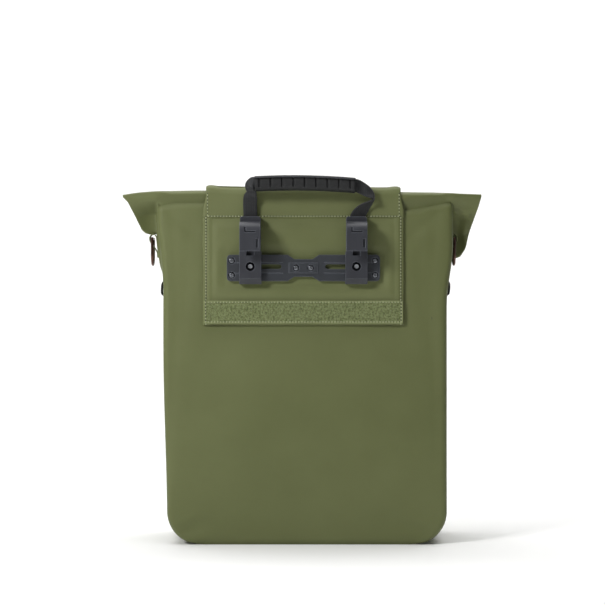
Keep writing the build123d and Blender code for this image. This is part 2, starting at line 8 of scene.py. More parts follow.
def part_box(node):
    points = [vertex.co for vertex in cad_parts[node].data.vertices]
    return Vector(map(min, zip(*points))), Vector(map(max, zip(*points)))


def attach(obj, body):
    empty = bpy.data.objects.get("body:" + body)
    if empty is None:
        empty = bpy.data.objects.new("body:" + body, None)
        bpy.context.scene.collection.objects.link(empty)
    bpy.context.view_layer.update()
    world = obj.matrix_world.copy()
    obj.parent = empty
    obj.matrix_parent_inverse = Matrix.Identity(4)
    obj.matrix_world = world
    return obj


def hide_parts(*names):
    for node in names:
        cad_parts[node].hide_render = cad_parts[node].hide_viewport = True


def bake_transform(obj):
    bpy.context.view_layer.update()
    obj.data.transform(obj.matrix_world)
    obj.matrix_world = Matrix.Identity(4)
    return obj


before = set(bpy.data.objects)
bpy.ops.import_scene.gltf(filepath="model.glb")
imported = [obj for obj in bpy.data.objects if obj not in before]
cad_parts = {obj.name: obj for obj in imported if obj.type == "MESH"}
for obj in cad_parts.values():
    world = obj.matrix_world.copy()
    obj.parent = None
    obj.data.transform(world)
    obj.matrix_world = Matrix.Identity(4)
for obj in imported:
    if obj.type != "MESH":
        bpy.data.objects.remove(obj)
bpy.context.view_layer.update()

# ---- Bag body: one skin of coated polyester, welded at the gussets, over a stiff back board.
# It is a soft box with rounded lower corners; the front slopes back to a flat neck that runs up
# behind the mounting panel and into the rolled closure. Lengths in this file are millimetres.


def mesh_piece(name, points, faces, smooth=True):
    """A mesh object from points in millimetres, with its normals turned outward."""
    mesh = bpy.data.meshes.new(name)
    mesh.from_pydata([tuple(p) for p in np.asarray(points, float) * 0.001], [], faces)
    mesh.update()
    piece = bpy.data.objects.new(name, mesh)
    bpy.context.scene.collection.objects.link(piece)
    bpy.context.view_layer.objects.active = piece
    for other in bpy.context.selected_objects:
        other.select_set(False)
    piece.select_set(True)
    bpy.ops.object.mode_set(mode="EDIT")
    bpy.ops.mesh.select_all(action="SELECT")
    bpy.ops.mesh.remove_doubles(threshold=0.00001)
    bpy.ops.mesh.normals_make_consistent(inside=False)
    bpy.ops.object.mode_set(mode="OBJECT")
    for polygon in piece.data.polygons:
        polygon.use_smooth = smooth
    return piece


def loft(name, rings):
    """A closed skin through rings that all have the same number of points."""
    count = len(rings[0])
    points = [p for ring in rings for p in ring]
    faces = []
    for level in range(len(rings) - 1):
        low = level * count
        for i in range(count):
            j = (i + 1) % count
            faces.append((low + i, low + j, low + count + j, low + count + i))
    for ring_index, ring in ((0, rings[0]), (len(rings) - 1, rings[-1])):
        middle = len(points)
        points.append(np.mean(np.asarray(ring), axis=0))
        start = ring_index * count
        faces += [(start + i, start + (i + 1) % count, middle) for i in range(count)]
    return mesh_piece(name, points, faces)


def smooth_step(low, high, value):
    """0 below low, 1 above high, and a soft turn between them."""
    t = np.clip((value - low) / (high - low), 0.0, 1.0)
    return t * t * (3 - 2 * t)


def bell(offset, width):
    """1 where offset is 0, falling smoothly away over about width."""
    return np.exp(-((offset / width) ** 2))


def spline(values, i, t):
    """Point of a smooth curve through the values, at t of the way from value i to the next."""
    p0, p1, p2, p3 = (values[k] for k in (max(i - 1, 0), i, i + 1, min(i + 2, len(values) - 1)))
    square = 2 * p0 - 5 * p1 + 4 * p2 - p3
    cube = 3 * p1 - p0 - 3 * p2 + p3
    return 0.5 * (2 * p1 + (p2 - p0) * t + square * t**2 + cube * t**3)


def reshape(piece, move):
    """Move every point of a piece by a function of its place; both are in millimetres."""
    mesh = piece.data
    points = np.empty(len(mesh.vertices) * 3)
    mesh.vertices.foreach_get("co", points)
    points = points.reshape(-1, 3) * 1000
    points = points + move(points)
    mesh.vertices.foreach_set("co", (points * 0.001).ravel())
    mesh.update()


def ripple(points, size, seed):
    """Soft noise from -1 to 1 for each point, with waves about size millimetres long."""
    shift = Vector((seed * 13.7, seed * 5.3, seed * 9.1))
    return np.array([noise.noise(Vector(p) / size + shift) for p in points])


shell_low, shell_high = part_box("bag_shell")
mouth_half = shell_high[0] * 1000
body_half = mouth_half - 6.5  # each side of the mouth spreads this far past the body
left_trim, left_flare = 1.2, 7.1  # the left side is slimmer low down and spreads higher up
right_fill, right_flare = 2.6, 7.2
back_y = shell_low[1] * 1000
front_y = shell_high[1] * 1000
roll_low, roll_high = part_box("roll_top")
neck_top = roll_high[2] * 1000 - 3.0


def body_ring(height):
    """Plan of the skin at one height: a rounded rectangle, flat along the back."""
    lower = 37.0
    tuck = 0.0
    if height < lower:
        tuck = lower - sqrt(max(lower**2 - (lower - height) ** 2, 0.0))
    taper = 4.6 * (1 - smooth_step(10, 230, height))
    half_left = body_half - left_trim - tuck - taper + left_flare * smooth_step(290, 392, height)
    half_right = body_half + right_fill - tuck + right_flare * smooth_step(275, 345, height)
    foot = 3.5 * (1 - smooth_step(0, 5, height))
    back = back_y + 0.6 + foot
    front = front_y - foot
    if height > 276:
        front = np.interp(height, [276, 284, 342, 356, neck_top], [front_y, front_y - 7, -22, -48, -54])
    if height > 385:
        shrink = smooth_step(385, neck_top, height)
        half_left -= 9 * shrink**2
        half_right -= 9 * shrink**2
        back += 5.5 * shrink**2
    corner_back = min(7.0, (front - back) / 2.2)
    corner_front = min(16.0, (front - back) / 2.2)
    ring = []
    corners = (
        (-half_left, back, corner_back, 180, 270),
        (half_right, back, corner_back, 270, 360),
        (half_right, front, corner_front, 0, 90),
        (-half_left, front, corner_front, 90, 180),
    )
    for x, y, radius, start, end in corners:
        centre_x = x + radius if x < 0 else x - radius
        centre_y = y + radius if y == back else y - radius
        for step in range(7):
            angle = radians(start + (end - start) * step / 6)
            ring.append((centre_x + radius * cos(angle), centre_y + radius * sin(angle)))
    filled = []
    for i, (x, y) in enumerate(ring):
        next_x, next_y = ring[(i + 1) % len(ring)]
        filled.append((x, y))
        if i % 7 == 6:
            pieces = 60 if i in (6, 20) else 26
            for k in range(1, pieces):
                t = k / pieces
                filled.append((x + (next_x - x) * t, y + (next_y - y) * t))
    return [(x, y, height) for x, y in filled]


heights = [0.0, 0.6, 1.6, 3.0, 5.0, 7.5, 10.5, 14.0, 18.0, 22.5, 27.0, 31.0, 34.0]
heights += list(np.arange(35.5, neck_top - 6, 4.5)) + [neck_top - 4, neck_top - 2, neck_top - 0.8, neck_top]
bag_skin = loft("bag_skin", [body_ring(h) for h in heights])
# The skin's right side goes in behind its ring, and its left side comes out to meet the loop.
ring_dent, ring_bulge = 3.4, 3.2


def shoulder_line(x):
    """Height where the bag's back turns in under the roll: level at the left, rising to the right corner."""
    return np.interp(x, [-168, -150, -118, 0, 118, 140, 158, 170], [390, 393, 394, 390, 385, 387.5, 392, 394])


def body_shape(points):
    """Filled-out walls, a soft fold beside each back edge and wrinkles at the lower corners."""
    x, y, z = points.T
    move = np.zeros_like(points)
    inner = np.clip(1 - (x / body_half) ** 2, 0, 1)
    low_wall = np.clip(np.sin(np.clip(z, 0, 262) / 262 * pi), 0, 1)
    on_back = (y < back_y + 4).astype(float)
    on_front = smooth_step(front_y - 12, front_y - 2, y)
    move[:, 1] -= on_back * 3.6 * inner**0.8 * low_wall
    move[:, 1] += on_front * 9.0 * inner * np.clip(np.sin(np.clip(z, 0, 280) / 280 * pi), 0, 1)
    side = smooth_step(body_half - 6, body_half - 1, np.abs(x)) * smooth_step(back_y + 8, back_y + 40, y)
    belly = np.sin(np.clip(z, 20, 330) / 350 * pi)
    move[:, 0] += np.sign(x) * side * 2.2 * belly * ripple(points, 160, 3)
    hollow = (
        smooth_step(body_half - 2, body_half + 1, np.abs(x)) * smooth_step(-62, -56, y)
        * smooth_step(-26, -34, y)
    )
    move[:, 0] -= (
        hollow * smooth_step(306, 322, z) * smooth_step(378, 366, z) * np.where(x > 0, ring_dent, ring_bulge)
    )
    fold = bell(np.abs(x) - 151 - 3 * np.sin(z / 60), 3.2)
    move[:, 1] += on_back * 0.9 * fold * smooth_step(40, 120, z) * smooth_step(396, 350, z)
    move[:, 1] += on_back * 7.5 * smooth_step(-3.5, 3.0, z - shoulder_line(x))
    pull = (
        bell(z - 352 - (np.abs(x) - 118) * 0.75, 7.0) * smooth_step(112, 122, np.abs(x))
        * smooth_step(163, 152, np.abs(x))
    )
    move[:, 1] += on_back * 1.3 * pull
    slack = (
        bell(np.abs(x) - 137 + (z - 300) * 0.08, 7.0) * smooth_step(215, 260, z) * smooth_step(385, 340, z)
    )
    move[:, 1] += on_back * 1.5 * slack * (0.6 + ripple(points, 60, 17))
    corner = bell(np.abs(x) - 132, 26) * bell(z - 20, 16)
    ridge = np.sin((np.abs(x) * 0.42 + z * 1.0) / 4.2)
    move[:, 1] -= on_back * corner * 1.2 * ridge
    low_ridge = bell(z - 9.5 - 1.2 * np.sin(x / 17), 2.2)
    move[:, 1] -= on_back * low_ridge * 0.8 * smooth_step(-0.1, 0.5, ripple(points, 45, 9))
    soft = ripple(points, 85, 1)
    fine = ripple(points, 28, 2)
    away = smooth_step(8, 40, z)
    move[:, 1] += (0.9 * soft + 0.25 * fine) * away
    return move


reshape(bag_skin, body_shape)


def srgb(code):
    """Linear RGBA from an sRGB hex colour."""
    channels = [int(code[i : i + 2], 16) / 255 for i in (1, 3, 5)]
    return tuple(c / 12.92 if c <= 0.04045 else ((c + 0.055) / 1.055) ** 2.4 for c in channels) + (1.0,)


def add(tree, kind, settings=None, **links):
    """A node with its settings; each link names an input socket (_ for a space) and its source."""
    made = tree.nodes.new(kind)
    for key, value in (settings or {}).items():
        if isinstance(key, str) and hasattr(made, key):
            setattr(made, key, value)
        else:
            made.inputs[key].default_value = value
    for socket, source in links.items():
        target = (
            made.inputs[int(socket[1:])] if socket[0] == "i" and socket[1:].isdigit()
            else made.inputs[socket.replace("_", " ")]
        )
        tree.links.new(source, target)
    return made


def start_material(name):
    """A material with its tree emptied, the tree, and the object coordinates that its textures use."""
    material = bpy.data.materials.new(name)
    material.use_nodes = True
    tree = material.node_tree
    tree.nodes.clear()
    return material, tree, add(tree, "ShaderNodeTexCoord").outputs["Object"]


def surface(material, settings, **links):
    """Give the material one principled shader as its surface, and return it."""
    tree = material.node_tree
    shader = add(tree, "ShaderNodeBsdfPrincipled", settings, **links)
    add(tree, "ShaderNodeOutputMaterial", Surface=shader.outputs["BSDF"])
    return material


def coated_cloth(name, light, mid, dark):
    """Plain-weave polyester under a matt coating: faint weave and cloudy tone."""
    material, tree, place = start_material(name)
    cloud = add(tree, "ShaderNodeTexNoise", {"Scale": 9.0, "Detail": 4.0, "Roughness": 0.55}, Vector=place)
    tone = add(tree, "ShaderNodeValToRGB", Fac=cloud.outputs["Fac"])
    tone.color_ramp.elements[0].position = 0.3
    tone.color_ramp.elements[0].color = srgb(dark)
    tone.color_ramp.elements[1].position = 0.72
    tone.color_ramp.elements[1].color = srgb(light)
    middle = tone.color_ramp.elements.new(0.5)
    middle.color = srgb(mid)
    fleck = add(tree, "ShaderNodeTexNoise", {"Scale": 900.0, "Detail": 2.0}, Vector=place)
    grain = add(
        tree, "ShaderNodeMix", {"data_type": "RGBA", "blend_type": "MULTIPLY", 0: 0.10},
        i6=tone.outputs["Color"], i7=fleck.outputs["Color"]
    )
    across = add(
        tree, "ShaderNodeTexWave",
        {"wave_type": "BANDS", "bands_direction": "X", "Scale": 320.0, "Distortion": 0.4}, Vector=place
    )
    along = add(
        tree, "ShaderNodeTexWave",
        {"wave_type": "BANDS", "bands_direction": "Z", "Scale": 320.0, "Distortion": 0.4}, Vector=place
    )
    weave = add(
        tree, "ShaderNodeMath", {"operation": "MULTIPLY"}, i0=across.outputs["Fac"], i1=along.outputs["Fac"]
    )
    skin = add(tree, "ShaderNodeTexNoise", {"Scale": 55.0, "Detail": 3.0}, Vector=place)
    fine = add(tree, "ShaderNodeBump", {"Strength": 0.16, "Distance": 0.0003}, Height=weave.outputs["Value"])
    broad = add(
        tree, "ShaderNodeBump", {"Strength": 0.10, "Distance": 0.002}, Height=skin.outputs["Fac"],
        Normal=fine.outputs["Normal"]
    )
    rough = add(tree, "ShaderNodeMapRange", {"To Min": 0.50, "To Max": 0.64}, Value=cloud.outputs["Fac"])
    return surface(
        material, {"IOR": 1.47, "Specular IOR Level": 0.4, "Sheen Weight": 0.05, "Sheen Roughness": 0.5},
        Base_Color=grain.outputs[2], Roughness=rough.outputs["Result"], Normal=broad.outputs["Normal"]
    )


skin_cloth = coated_cloth("coated polyester, matt olive", "#696F45", "#656B41", "#61673D")
bag_skin.data.materials.append(skin_cloth)
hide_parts("bag_shell", "neck")
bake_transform(bag_skin)

# ---- Rolled closure: the flat top of the bag folded over forwards round a batten, several layers thick.
# Its ends stick out past the body as flat wings; the right one hangs lower than the left.


def closure_back(x, z):
    """Y of the packet's back face: flush with the bag's back along the top, the wings tucked behind."""
    reach = abs(x)
    crease = float(shoulder_line(x))
    on_body = back_y + 4.6 - 5.1 * smooth_step(crease, crease + 15, z)
    tuck = 22 * smooth_step(398, 378, z) if x < 0 else 44 * smooth_step(402, 355, z)
    ease = (
        0.65 * smooth_step(170, 205, reach) if x < 0
        else 0.55 * smooth_step(179, 203, reach) * smooth_step(352, 385, z)
    )
    wing = back_y + 1.0 + tuck * (1 - ease) + 2.0 * smooth_step(165, 205, reach)
    outward = smooth_step(163, 171, reach)
    return on_body * (1 - outward) + wing * outward


def closure_ring(x, bottom, top):
    """Section of the folded packet at one X: from the top down its back face, then up its front."""
    inner = 1 - smooth_step(150, 172, abs(x))
    thick = 5.5 + 15.5 * inner
    crown = min(3.6 * inner + 1.4, (top - bottom) / 3)
    levels = [top - crown + (bottom + 2 - top + crown) * k / 30 for k in range(31)]
    ring = [(x, float(closure_back(x, z)), z) for z in levels]
    y_end = float(closure_back(x, levels[-1]))
    ring += [
        (x, y_end + thick * (1 - cos(pi * k / 6)) / 2, bottom + 2 - 2 * sin(pi * k / 6))
        for k in range(1, 6)
    ]
    ring += [(x, float(closure_back(x, z)) + thick, z) for z in levels[::-1]]
    y_end = float(closure_back(x, levels[0]))
    ring += [
        (x, y_end + thick * (1 + cos(pi * k / 8)) / 2, top - crown + crown * sin(pi * k / 8))
        for k in range(1, 8)
    ]
    return ring


closure_x = np.concatenate(
    [np.linspace(-207.5, -150, 44), np.linspace(-146, 146, 74), np.linspace(150, 204.5, 44)]
)
crest_x = [-207.5, -200, -188, -172, -152, -120, 0, 120, 150, 165, 180, 204.5]
crest_z = [402.0, 403.0, 404.5, 405.5, 406.5, 407.5, 407.0, 405.5, 405.0, 404.0, 403.0, 402.0]
hem_x = [
    -207.5, -202, -196.5, -190.5, -187, -183, -178, -160, -140, 140, 158, 166, 172, 179, 184, 190, 192, 193.8,
    196, 198.5, 201.5, 204.5
]
hem_z = [
    399, 393.4, 381.9, 369, 361.5, 358, 356.5, 357, 360, 360, 345, 333, 329.5, 329.5, 331.5, 341, 350, 359,
    368.5, 378, 387, 398
]
closure = loft(
    "closure",
    [closure_ring(x, np.interp(x, hem_x, hem_z), np.interp(x, crest_x, crest_z)) for x in closure_x]
)


def closure_shape(points):
    """Loose layers: waves along the fold, a small tuck in the right wing and a slack lower edge."""
    x, y, z = points.T
    move = np.zeros_like(points)
    wing = smooth_step(166, 176, np.abs(x))
    slack = smooth_step(400, 362, z) * wing
    move[:, 1] += 2.4 * ripple(points, 46, 4) * slack + 0.7 * ripple(points, 22, 5) * (0.35 + 0.65 * wing)
    move[:, 2] += 0.8 * ripple(points, 60, 6)
    tuck = bell(z - 383 + (x - 172) * 0.28, 3.0) * smooth_step(168, 176, x) * smooth_step(199, 190, x)
    move[:, 1] -= 4.0 * tuck
    fall = bell(x - 188 + (z - 360) * 0.10, 5.0) * smooth_step(380, 360, z)
    move[:, 1] -= 2.6 * fall
    front = smooth_step(back_y + 12, back_y + 18, y) * (1 - wing)
    groove = bell(z - 384 - 2 * np.sin(x / 50), 2.0)
    move[:, 1] -= front * 1.6 * groove
    return move


reshape(closure, closure_shape)
closure.data.materials.append(skin_cloth)
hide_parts("roll_top")
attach(closure, "roll")

# ---- Mounting panel: two layers of the same cloth sewn round a stiff board, fixed high on the back.
# Its edges are turned in and topstitched, so they stand proud of the bag.


def slab_strip(name, path, half_width, thickness, columns, rim=0.9):
    """Cloth strip of even thickness: path is its middle line in Y and Z, and it runs across X."""
    path = np.asarray(path, float)
    tangent = np.gradient(path, axis=0)
    tangent /= np.linalg.norm(tangent, axis=1)[:, None]
    normal = np.stack([tangent[:, 1], -tangent[:, 0]], axis=1)
    half = thickness / 2
    rings = []
    last = len(path) - 1
    for i, (y, z) in enumerate(path):
        n = normal[i]
        scale = 0.45 if i in (0, last) else 1.0
        ring = []
        xs = np.concatenate(
            [[-half_width], np.linspace(-half_width + rim, half_width - rim, columns), [half_width]]
        )
        for x in xs:
            edge = 0.35 if abs(x) == half_width else 1.0
            ring.append((x, y + n[0] * half * scale * edge, z + n[1] * half * scale * edge))
        for x in xs[::-1]:
            edge = 0.35 if abs(x) == half_width else 1.0
            ring.append((x, y - n[0] * half * scale * edge, z - n[1] * half * scale * edge))
        rings.append(ring)
    return loft(name, rings)


panel_low, panel_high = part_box("mount_panel")
panel_half = panel_high[0] * 1000
panel_face = panel_low[1] * 1000
panel_bottom = panel_low[2] * 1000
panel_seam = panel_high[2] * 1000
panel_middle = (panel_low[1] + panel_high[1]) * 500
levels = np.concatenate(
    [[panel_bottom, panel_bottom + 0.8], np.linspace(panel_bottom + 3, panel_seam - 3, 60), [panel_seam]]
)
panel = slab_strip("panel", [(panel_middle, z) for z in levels], panel_half, 3.2, 110)


def panel_shape(points):
    """Turned edges, a sunk stitch line, and cloth that puffs out round the rail where rivets hold it down."""
    x, y, z = points.T
    move = np.zeros_like(points)
    face = (y < panel_middle - 0.5).astype(float)
    seam = bell(np.abs(x) - (panel_half - 3.4), 1.1)
    move[:, 1] += face * 0.8 * seam
    welt = bell(np.abs(x) - (panel_half - 7.0), 1.6)
    move[:, 1] -= face * 0.9 * welt
    away = np.hypot(np.maximum(np.abs(x) - 88, 0), np.maximum(np.abs(z - 317.5) - 16, 0))
    inside = (
        smooth_step(panel_half - 8, panel_half - 17, np.abs(x)) * smooth_step(282, 290, z)
        * smooth_step(374, 362, z)
    )
    pillow = smooth_step(1, 13, away) * inside * (1.3 + 0.9 * ripple(points, 40, 11))
    move[:, 1] -= face * (pillow + 0.15 * ripple(points, 24, 13))
    move[:, 1] += (1 - face) * 0.3
    move[:, 0] += (
        0.5 * ripple(points * np.array([0, 0, 1.0]), 55, 12)
        * smooth_step(panel_half - 6, panel_half, np.abs(x))
    )
    return move


reshape(panel, panel_shape)
panel_cloth = coated_cloth("coated polyester, panel and flap", "#6E744A", "#6A7046", "#656C41")
panel.data.materials.append(panel_cloth)
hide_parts("mount_panel")
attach(panel, "bag")

# ---- Flap: the same cloth carried on from the panel's seam, up the back of the roll, over its top
# and down the sloping front, where hook tape holds it. It bends at the roll's two edges.

flap_top_low, flap_top_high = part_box("flap_top")
crest = flap_top_low[2] * 1000
hinge_y = flap_top_low[1] * 1000
front_hinge_y = flap_top_high[1] * 1000
back_path = [(panel_middle - 0.75, z) for z in np.linspace(panel_seam - 1.0, crest - 6, 26)]
arc_back = [
    (hinge_y + 1.8 + 6.5 * (1 - cos(a)), crest - 5 + 6.5 * sin(a))
    for a in np.linspace(0.15, pi / 2, 8)
]
flap_back = slab_strip("flap_back_cloth", back_path + arc_back[:6], panel_half, 1.7, 90)
top_y = np.linspace(hinge_y + 11, front_hinge_y - 6, 12)
top_path = arc_back[4:] + [(y, crest + 1.5 + 0.4 * sin((y - hinge_y) / 4)) for y in top_y]
arc_front = [
    (front_hinge_y - 4 + 6.0 * sin(a), crest - 4.5 + 6.0 * cos(a))
    for a in np.linspace(0.1, 1.25, 8)
]
flap_top = slab_strip("flap_top_cloth", top_path + arc_front[:4], panel_half, 1.7, 90)
front_points = arc_front[2:7:2] + [(-35.5, 392), (-29, 372), (-15, 351), (5, 334.5), (24.2, 320.2)]
front_points = np.array(front_points, float)
front_path = [
    spline(front_points, i, t)
    for i in range(len(front_points) - 1)
    for t in np.linspace(0, 1, 8, endpoint=False)
]
front_path.append(front_points[-1])
flap_front = slab_strip("flap_front_cloth", front_path, panel_half, 1.7, 90)


def flap_shape(points):
    """Loose cloth: long low waves, and its crest a little higher at the left than at the right."""
    x, y, z = points.T
    move = np.zeros_like(points)
    loose = smooth_step(panel_seam + 4, panel_seam + 26, z)
    tip = smooth_step(hinge_y + 60, hinge_y + 90, y)
    loose = np.maximum(loose, smooth_step(hinge_y + 6, hinge_y + 20, y)) * (1 - 0.6 * tip)
    wave = ripple(points * np.array([1.0, 0.4, 0.4]), 46, 21)
    move[:, 2] += loose * (0.9 * wave - 0.006 * x + 0.5)
    corner = bell(np.abs(x) - panel_half + 9, 8) * smooth_step(hinge_y + 40, hinge_y + 20, y)
    move[:, 2] += 1.5 * corner * smooth_step(crest - 14, crest - 2, z)
    back = smooth_step(hinge_y + 8, hinge_y + 2, y)
    move[:, 1] += back * loose * 0.9 * (ripple(points, 38, 22) + 0.3)
    move[:, 0] -= (
        np.sign(x) * smooth_step(panel_half - 8, panel_half, np.abs(x)) * 3.4
        * smooth_step(panel_seam + 6, panel_seam + 24, z)
    )
    return move


for piece in (flap_back, flap_top, flap_front):
    reshape(piece, flap_shape)
    piece.data.materials.append(panel_cloth)
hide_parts("flap_back")
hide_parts("flap_top")
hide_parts("flap_front")
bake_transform(flap_back)
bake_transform(flap_top)
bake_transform(flap_front)


# ---- Loop strip: the fuzzy half of a hook-and-loop fastener, a knitted tape with raised nylon loops,
# sewn along the panel's lower edge. The flap's hook tape grips it when the hooks are covered.


def tree_with_inputs(name, inputs):
    """A Geometry Nodes tree with a mesh in and out and the named inputs, and its two end nodes."""
    tree = bpy.data.node_groups.new(name, "GeometryNodeTree")
    tree.interface.new_socket("Geometry", in_out="INPUT", socket_type="NodeSocketGeometry")
    for label, kind in inputs:
        tree.interface.new_socket(label, in_out="INPUT", socket_type=kind)
    tree.interface.new_socket("Geometry", in_out="OUTPUT", socket_type="NodeSocketGeometry")
    return tree, add(tree, "NodeGroupInput"), add(tree, "NodeGroupOutput")


def grow(host, tree, values, name):
    """Run a tree on a host mesh, keep the result as a plain mesh under a new name, drop the host."""
    modifier = host.modifiers.new("build", "NODES")
    modifier.node_group = tree
    for item in tree.interface.items_tree:
        if item.in_out == "INPUT" and item.name in values:
            modifier[item.identifier] = values[item.name]
    graph = bpy.context.evaluated_depsgraph_get()
    mesh = bpy.data.meshes.new_from_object(host.evaluated_get(graph), depsgraph=graph)
    mesh.name = name
    piece = bpy.data.objects.new(name, mesh)
    bpy.context.scene.collection.objects.link(piece)
    bpy.data.objects.remove(host)
    return piece


loops_tree, loops_in, loops_out = tree_with_inputs(
    "Raised loops",
    [
        ("Density", "NodeSocketFloat"), ("Loop Radius", "NodeSocketFloat"),
        ("Yarn Radius", "NodeSocketFloat"), ("Seed", "NodeSocketInt"), ("Material", "NodeSocketMaterial")
    ],
)
scatter = add(
    loops_tree, "GeometryNodeDistributePointsOnFaces", Mesh=loops_in.outputs["Geometry"],
    Density=loops_in.outputs["Density"], Seed=loops_in.outputs["Seed"]
)
bend = add(
    loops_tree, "GeometryNodeCurveArc", {"Resolution": 6, "Sweep Angle": radians(230)},
    Radius=loops_in.outputs["Loop Radius"]
)
yarn = add(
    loops_tree, "GeometryNodeCurvePrimitiveCircle", {"Resolution": 3}, Radius=loops_in.outputs["Yarn Radius"]
)
curl = add(
    loops_tree, "GeometryNodeCurveToMesh", Curve=bend.outputs["Curve"], Profile_Curve=yarn.outputs["Curve"]
)
turn = add(
    loops_tree, "FunctionNodeRandomValue",
    {"data_type": "FLOAT_VECTOR", 0: (0.0, 0.0, 0.0), 1: (6.28, 6.28, 6.28)}, Seed=loops_in.outputs["Seed"]
)
grade = add(
    loops_tree, "FunctionNodeRandomValue", {"data_type": "FLOAT", 2: 0.55, 3: 1.25},
    Seed=loops_in.outputs["Seed"]
)
placed = add(
    loops_tree, "GeometryNodeInstanceOnPoints", Points=scatter.outputs["Points"],
    Instance=curl.outputs["Mesh"], Rotation=turn.outputs[0], Scale=grade.outputs[1]
)
solid = add(loops_tree, "GeometryNodeRealizeInstances", Geometry=placed.outputs["Instances"])
dyed = add(
    loops_tree, "GeometryNodeSetMaterial", Geometry=solid.outputs["Geometry"],
    Material=loops_in.outputs["Material"]
)
loops_tree.links.new(dyed.outputs["Geometry"], loops_out.inputs["Geometry"])


def knitted_tape(name, light, dark):
    """Brushed nylon knit: blotchy where the loops are matted down."""
    material, tree, place = start_material(name)
    matted = add(tree, "ShaderNodeTexNoise", {"Scale": 430.0, "Detail": 4.0, "Roughness": 0.65}, Vector=place)
    tone = add(tree, "ShaderNodeValToRGB", Fac=matted.outputs["Fac"])
    tone.color_ramp.elements[0].position = 0.36
    tone.color_ramp.elements[0].color = srgb(dark)
    tone.color_ramp.elements[1].position = 0.60
    tone.color_ramp.elements[1].color = srgb(light)
    knots = add(tree, "ShaderNodeTexVoronoi", {"Scale": 900.0}, Vector=place)
    bump = add(
        tree, "ShaderNodeBump", {"Strength": 0.7, "Distance": 0.0006}, Height=knots.outputs["Distance"]
    )
    return surface(
        material, {"Roughness": 0.85, "IOR": 1.5, "Sheen Weight": 0.35, "Sheen Roughness": 0.4},
        Base_Color=tone.outputs["Color"], Normal=bump.outputs["Normal"]
    )


def flat_grid(name, corner, along, up, columns, rows):
    """A flat open grid of faces, from one corner along two edges."""
    corner, along, up = (np.asarray(v, float) for v in (corner, along, up))
    points = [
        corner + along * i / columns + up * j / rows
        for j in range(rows + 1)
        for i in range(columns + 1)
    ]
    faces = []
    for j in range(rows):
        for i in range(columns):
            k = j * (columns + 1) + i
            faces.append((k, k + 1, k + columns + 2, k + columns + 1))
    mesh = bpy.data.meshes.new(name)
    mesh.from_pydata([tuple(p * 0.001) for p in points], [], faces)
    host = bpy.data.objects.new(name, mesh)
    bpy.context.scene.collection.objects.link(host)
    return host


loop_knit = knitted_tape("brushed nylon loop tape, olive", "#818A5C", "#4F582F")
tape_low, tape_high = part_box("loop_strip")
tape_face = tape_low[1] * 1000
tape_bottom = tape_low[2] * 1000
tape_top = tape_high[2] * 1000
tape_half = tape_high[0] * 1000
tape_levels = np.linspace(tape_bottom, tape_top, 12)
loop_strip = slab_strip(
    "loop_strip_tape", [((tape_low[1] + tape_high[1]) * 500 - 0.1, z) for z in tape_levels], tape_half, 1.3,
    60
)
loop_strip.data.materials.append(loop_knit)
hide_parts("loop_strip")
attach(loop_strip, "bag")
pile_host = flat_grid(
    "pile_host", (-tape_half + 2, tape_face + 0.2, tape_bottom + 2), (2 * tape_half - 4, 0, 0),
    (0, 0, tape_top - tape_bottom - 4), 60, 8
)
pile_values = {
    "Density": 1.15e6, "Loop Radius": 0.00050, "Yarn Radius": 0.00010, "Seed": 3, "Material": loop_knit
}
loop_pile = grow(pile_host, loops_tree, pile_values, "loop_strip_pile")
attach(loop_pile, "bag")

# ---- Selvage of the loop strip: the knitted tape's woven edge, lighter and raised on all four sides.
# It is stitched down with the strip.


def tube(name, path, radius, sides=8, closed=False):
    """A round cord along a path of points."""
    path = np.asarray(path, float)
    if closed:
        tangent = np.roll(path, -1, axis=0) - np.roll(path, 1, axis=0)
    else:
        tangent = np.gradient(path, axis=0)
    tangent /= np.linalg.norm(tangent, axis=1)[:, None]
    guide = np.array([0.0, 1.0, 0.0]) if abs(tangent[:, 1]).max() < 0.9 else np.array([1.0, 0.0, 0.0])
    turns = [2 * pi * k / sides for k in range(sides)]
    rings = []
    for p, t in zip(path, tangent):
        side = np.cross(t, guide)
        side /= np.linalg.norm(side)
        other = np.cross(t, side)
        rings.append([p + radius * (cos(a) * side + sin(a) * other) for a in turns])
    if not closed:
        return loft(name, rings)
    count = len(rings)
    points = [p for ring in rings for p in ring]
    faces = []
    for level in range(count):
        low, high = level * sides, ((level + 1) % count) * sides
        faces += [(low + i, low + (i + 1) % sides, high + (i + 1) % sides, high + i) for i in range(sides)]
    return mesh_piece(name, points, faces)


def rounded_frame(half_x, low, high, radius, y, step=3.0):
    """Points round an upright rounded rectangle facing Y."""
    points = []
    corners = ((half_x, high, 0), (-half_x, high, 90), (-half_x, low, 180), (half_x, low, 270))
    for x, z, start in corners:
        cx = x - radius * (1 if x > 0 else -1)
        cz = z - radius * (1 if z == high else -1)
        for k in range(7):
            angle = radians(start + 15 * k)
            points.append((cx + radius * cos(angle), y, cz + radius * sin(angle)))
    dense = []
    for i, p in enumerate(points):
        q = points[(i + 1) % len(points)]
        gap = sqrt((q[0] - p[0]) ** 2 + (q[2] - p[2]) ** 2)
        count = max(1, int(gap / step))
        dense += [
            (p[0] + (q[0] - p[0]) * k / count, y, p[2] + (q[2] - p[2]) * k / count)
            for k in range(count)
        ]
    return dense


selvage_thread = coated_cloth("woven selvage, light olive", "#98A070", "#8B9363", "#7F8758")
selvage = tube(
    "loop_strip_selvage",
    rounded_frame(tape_half - 0.7, tape_bottom + 0.5, tape_top - 0.4, 1.2, tape_face - 0.05), 0.55,
    closed=True
)
selvage.data.materials.append(selvage_thread)
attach(selvage, "bag")
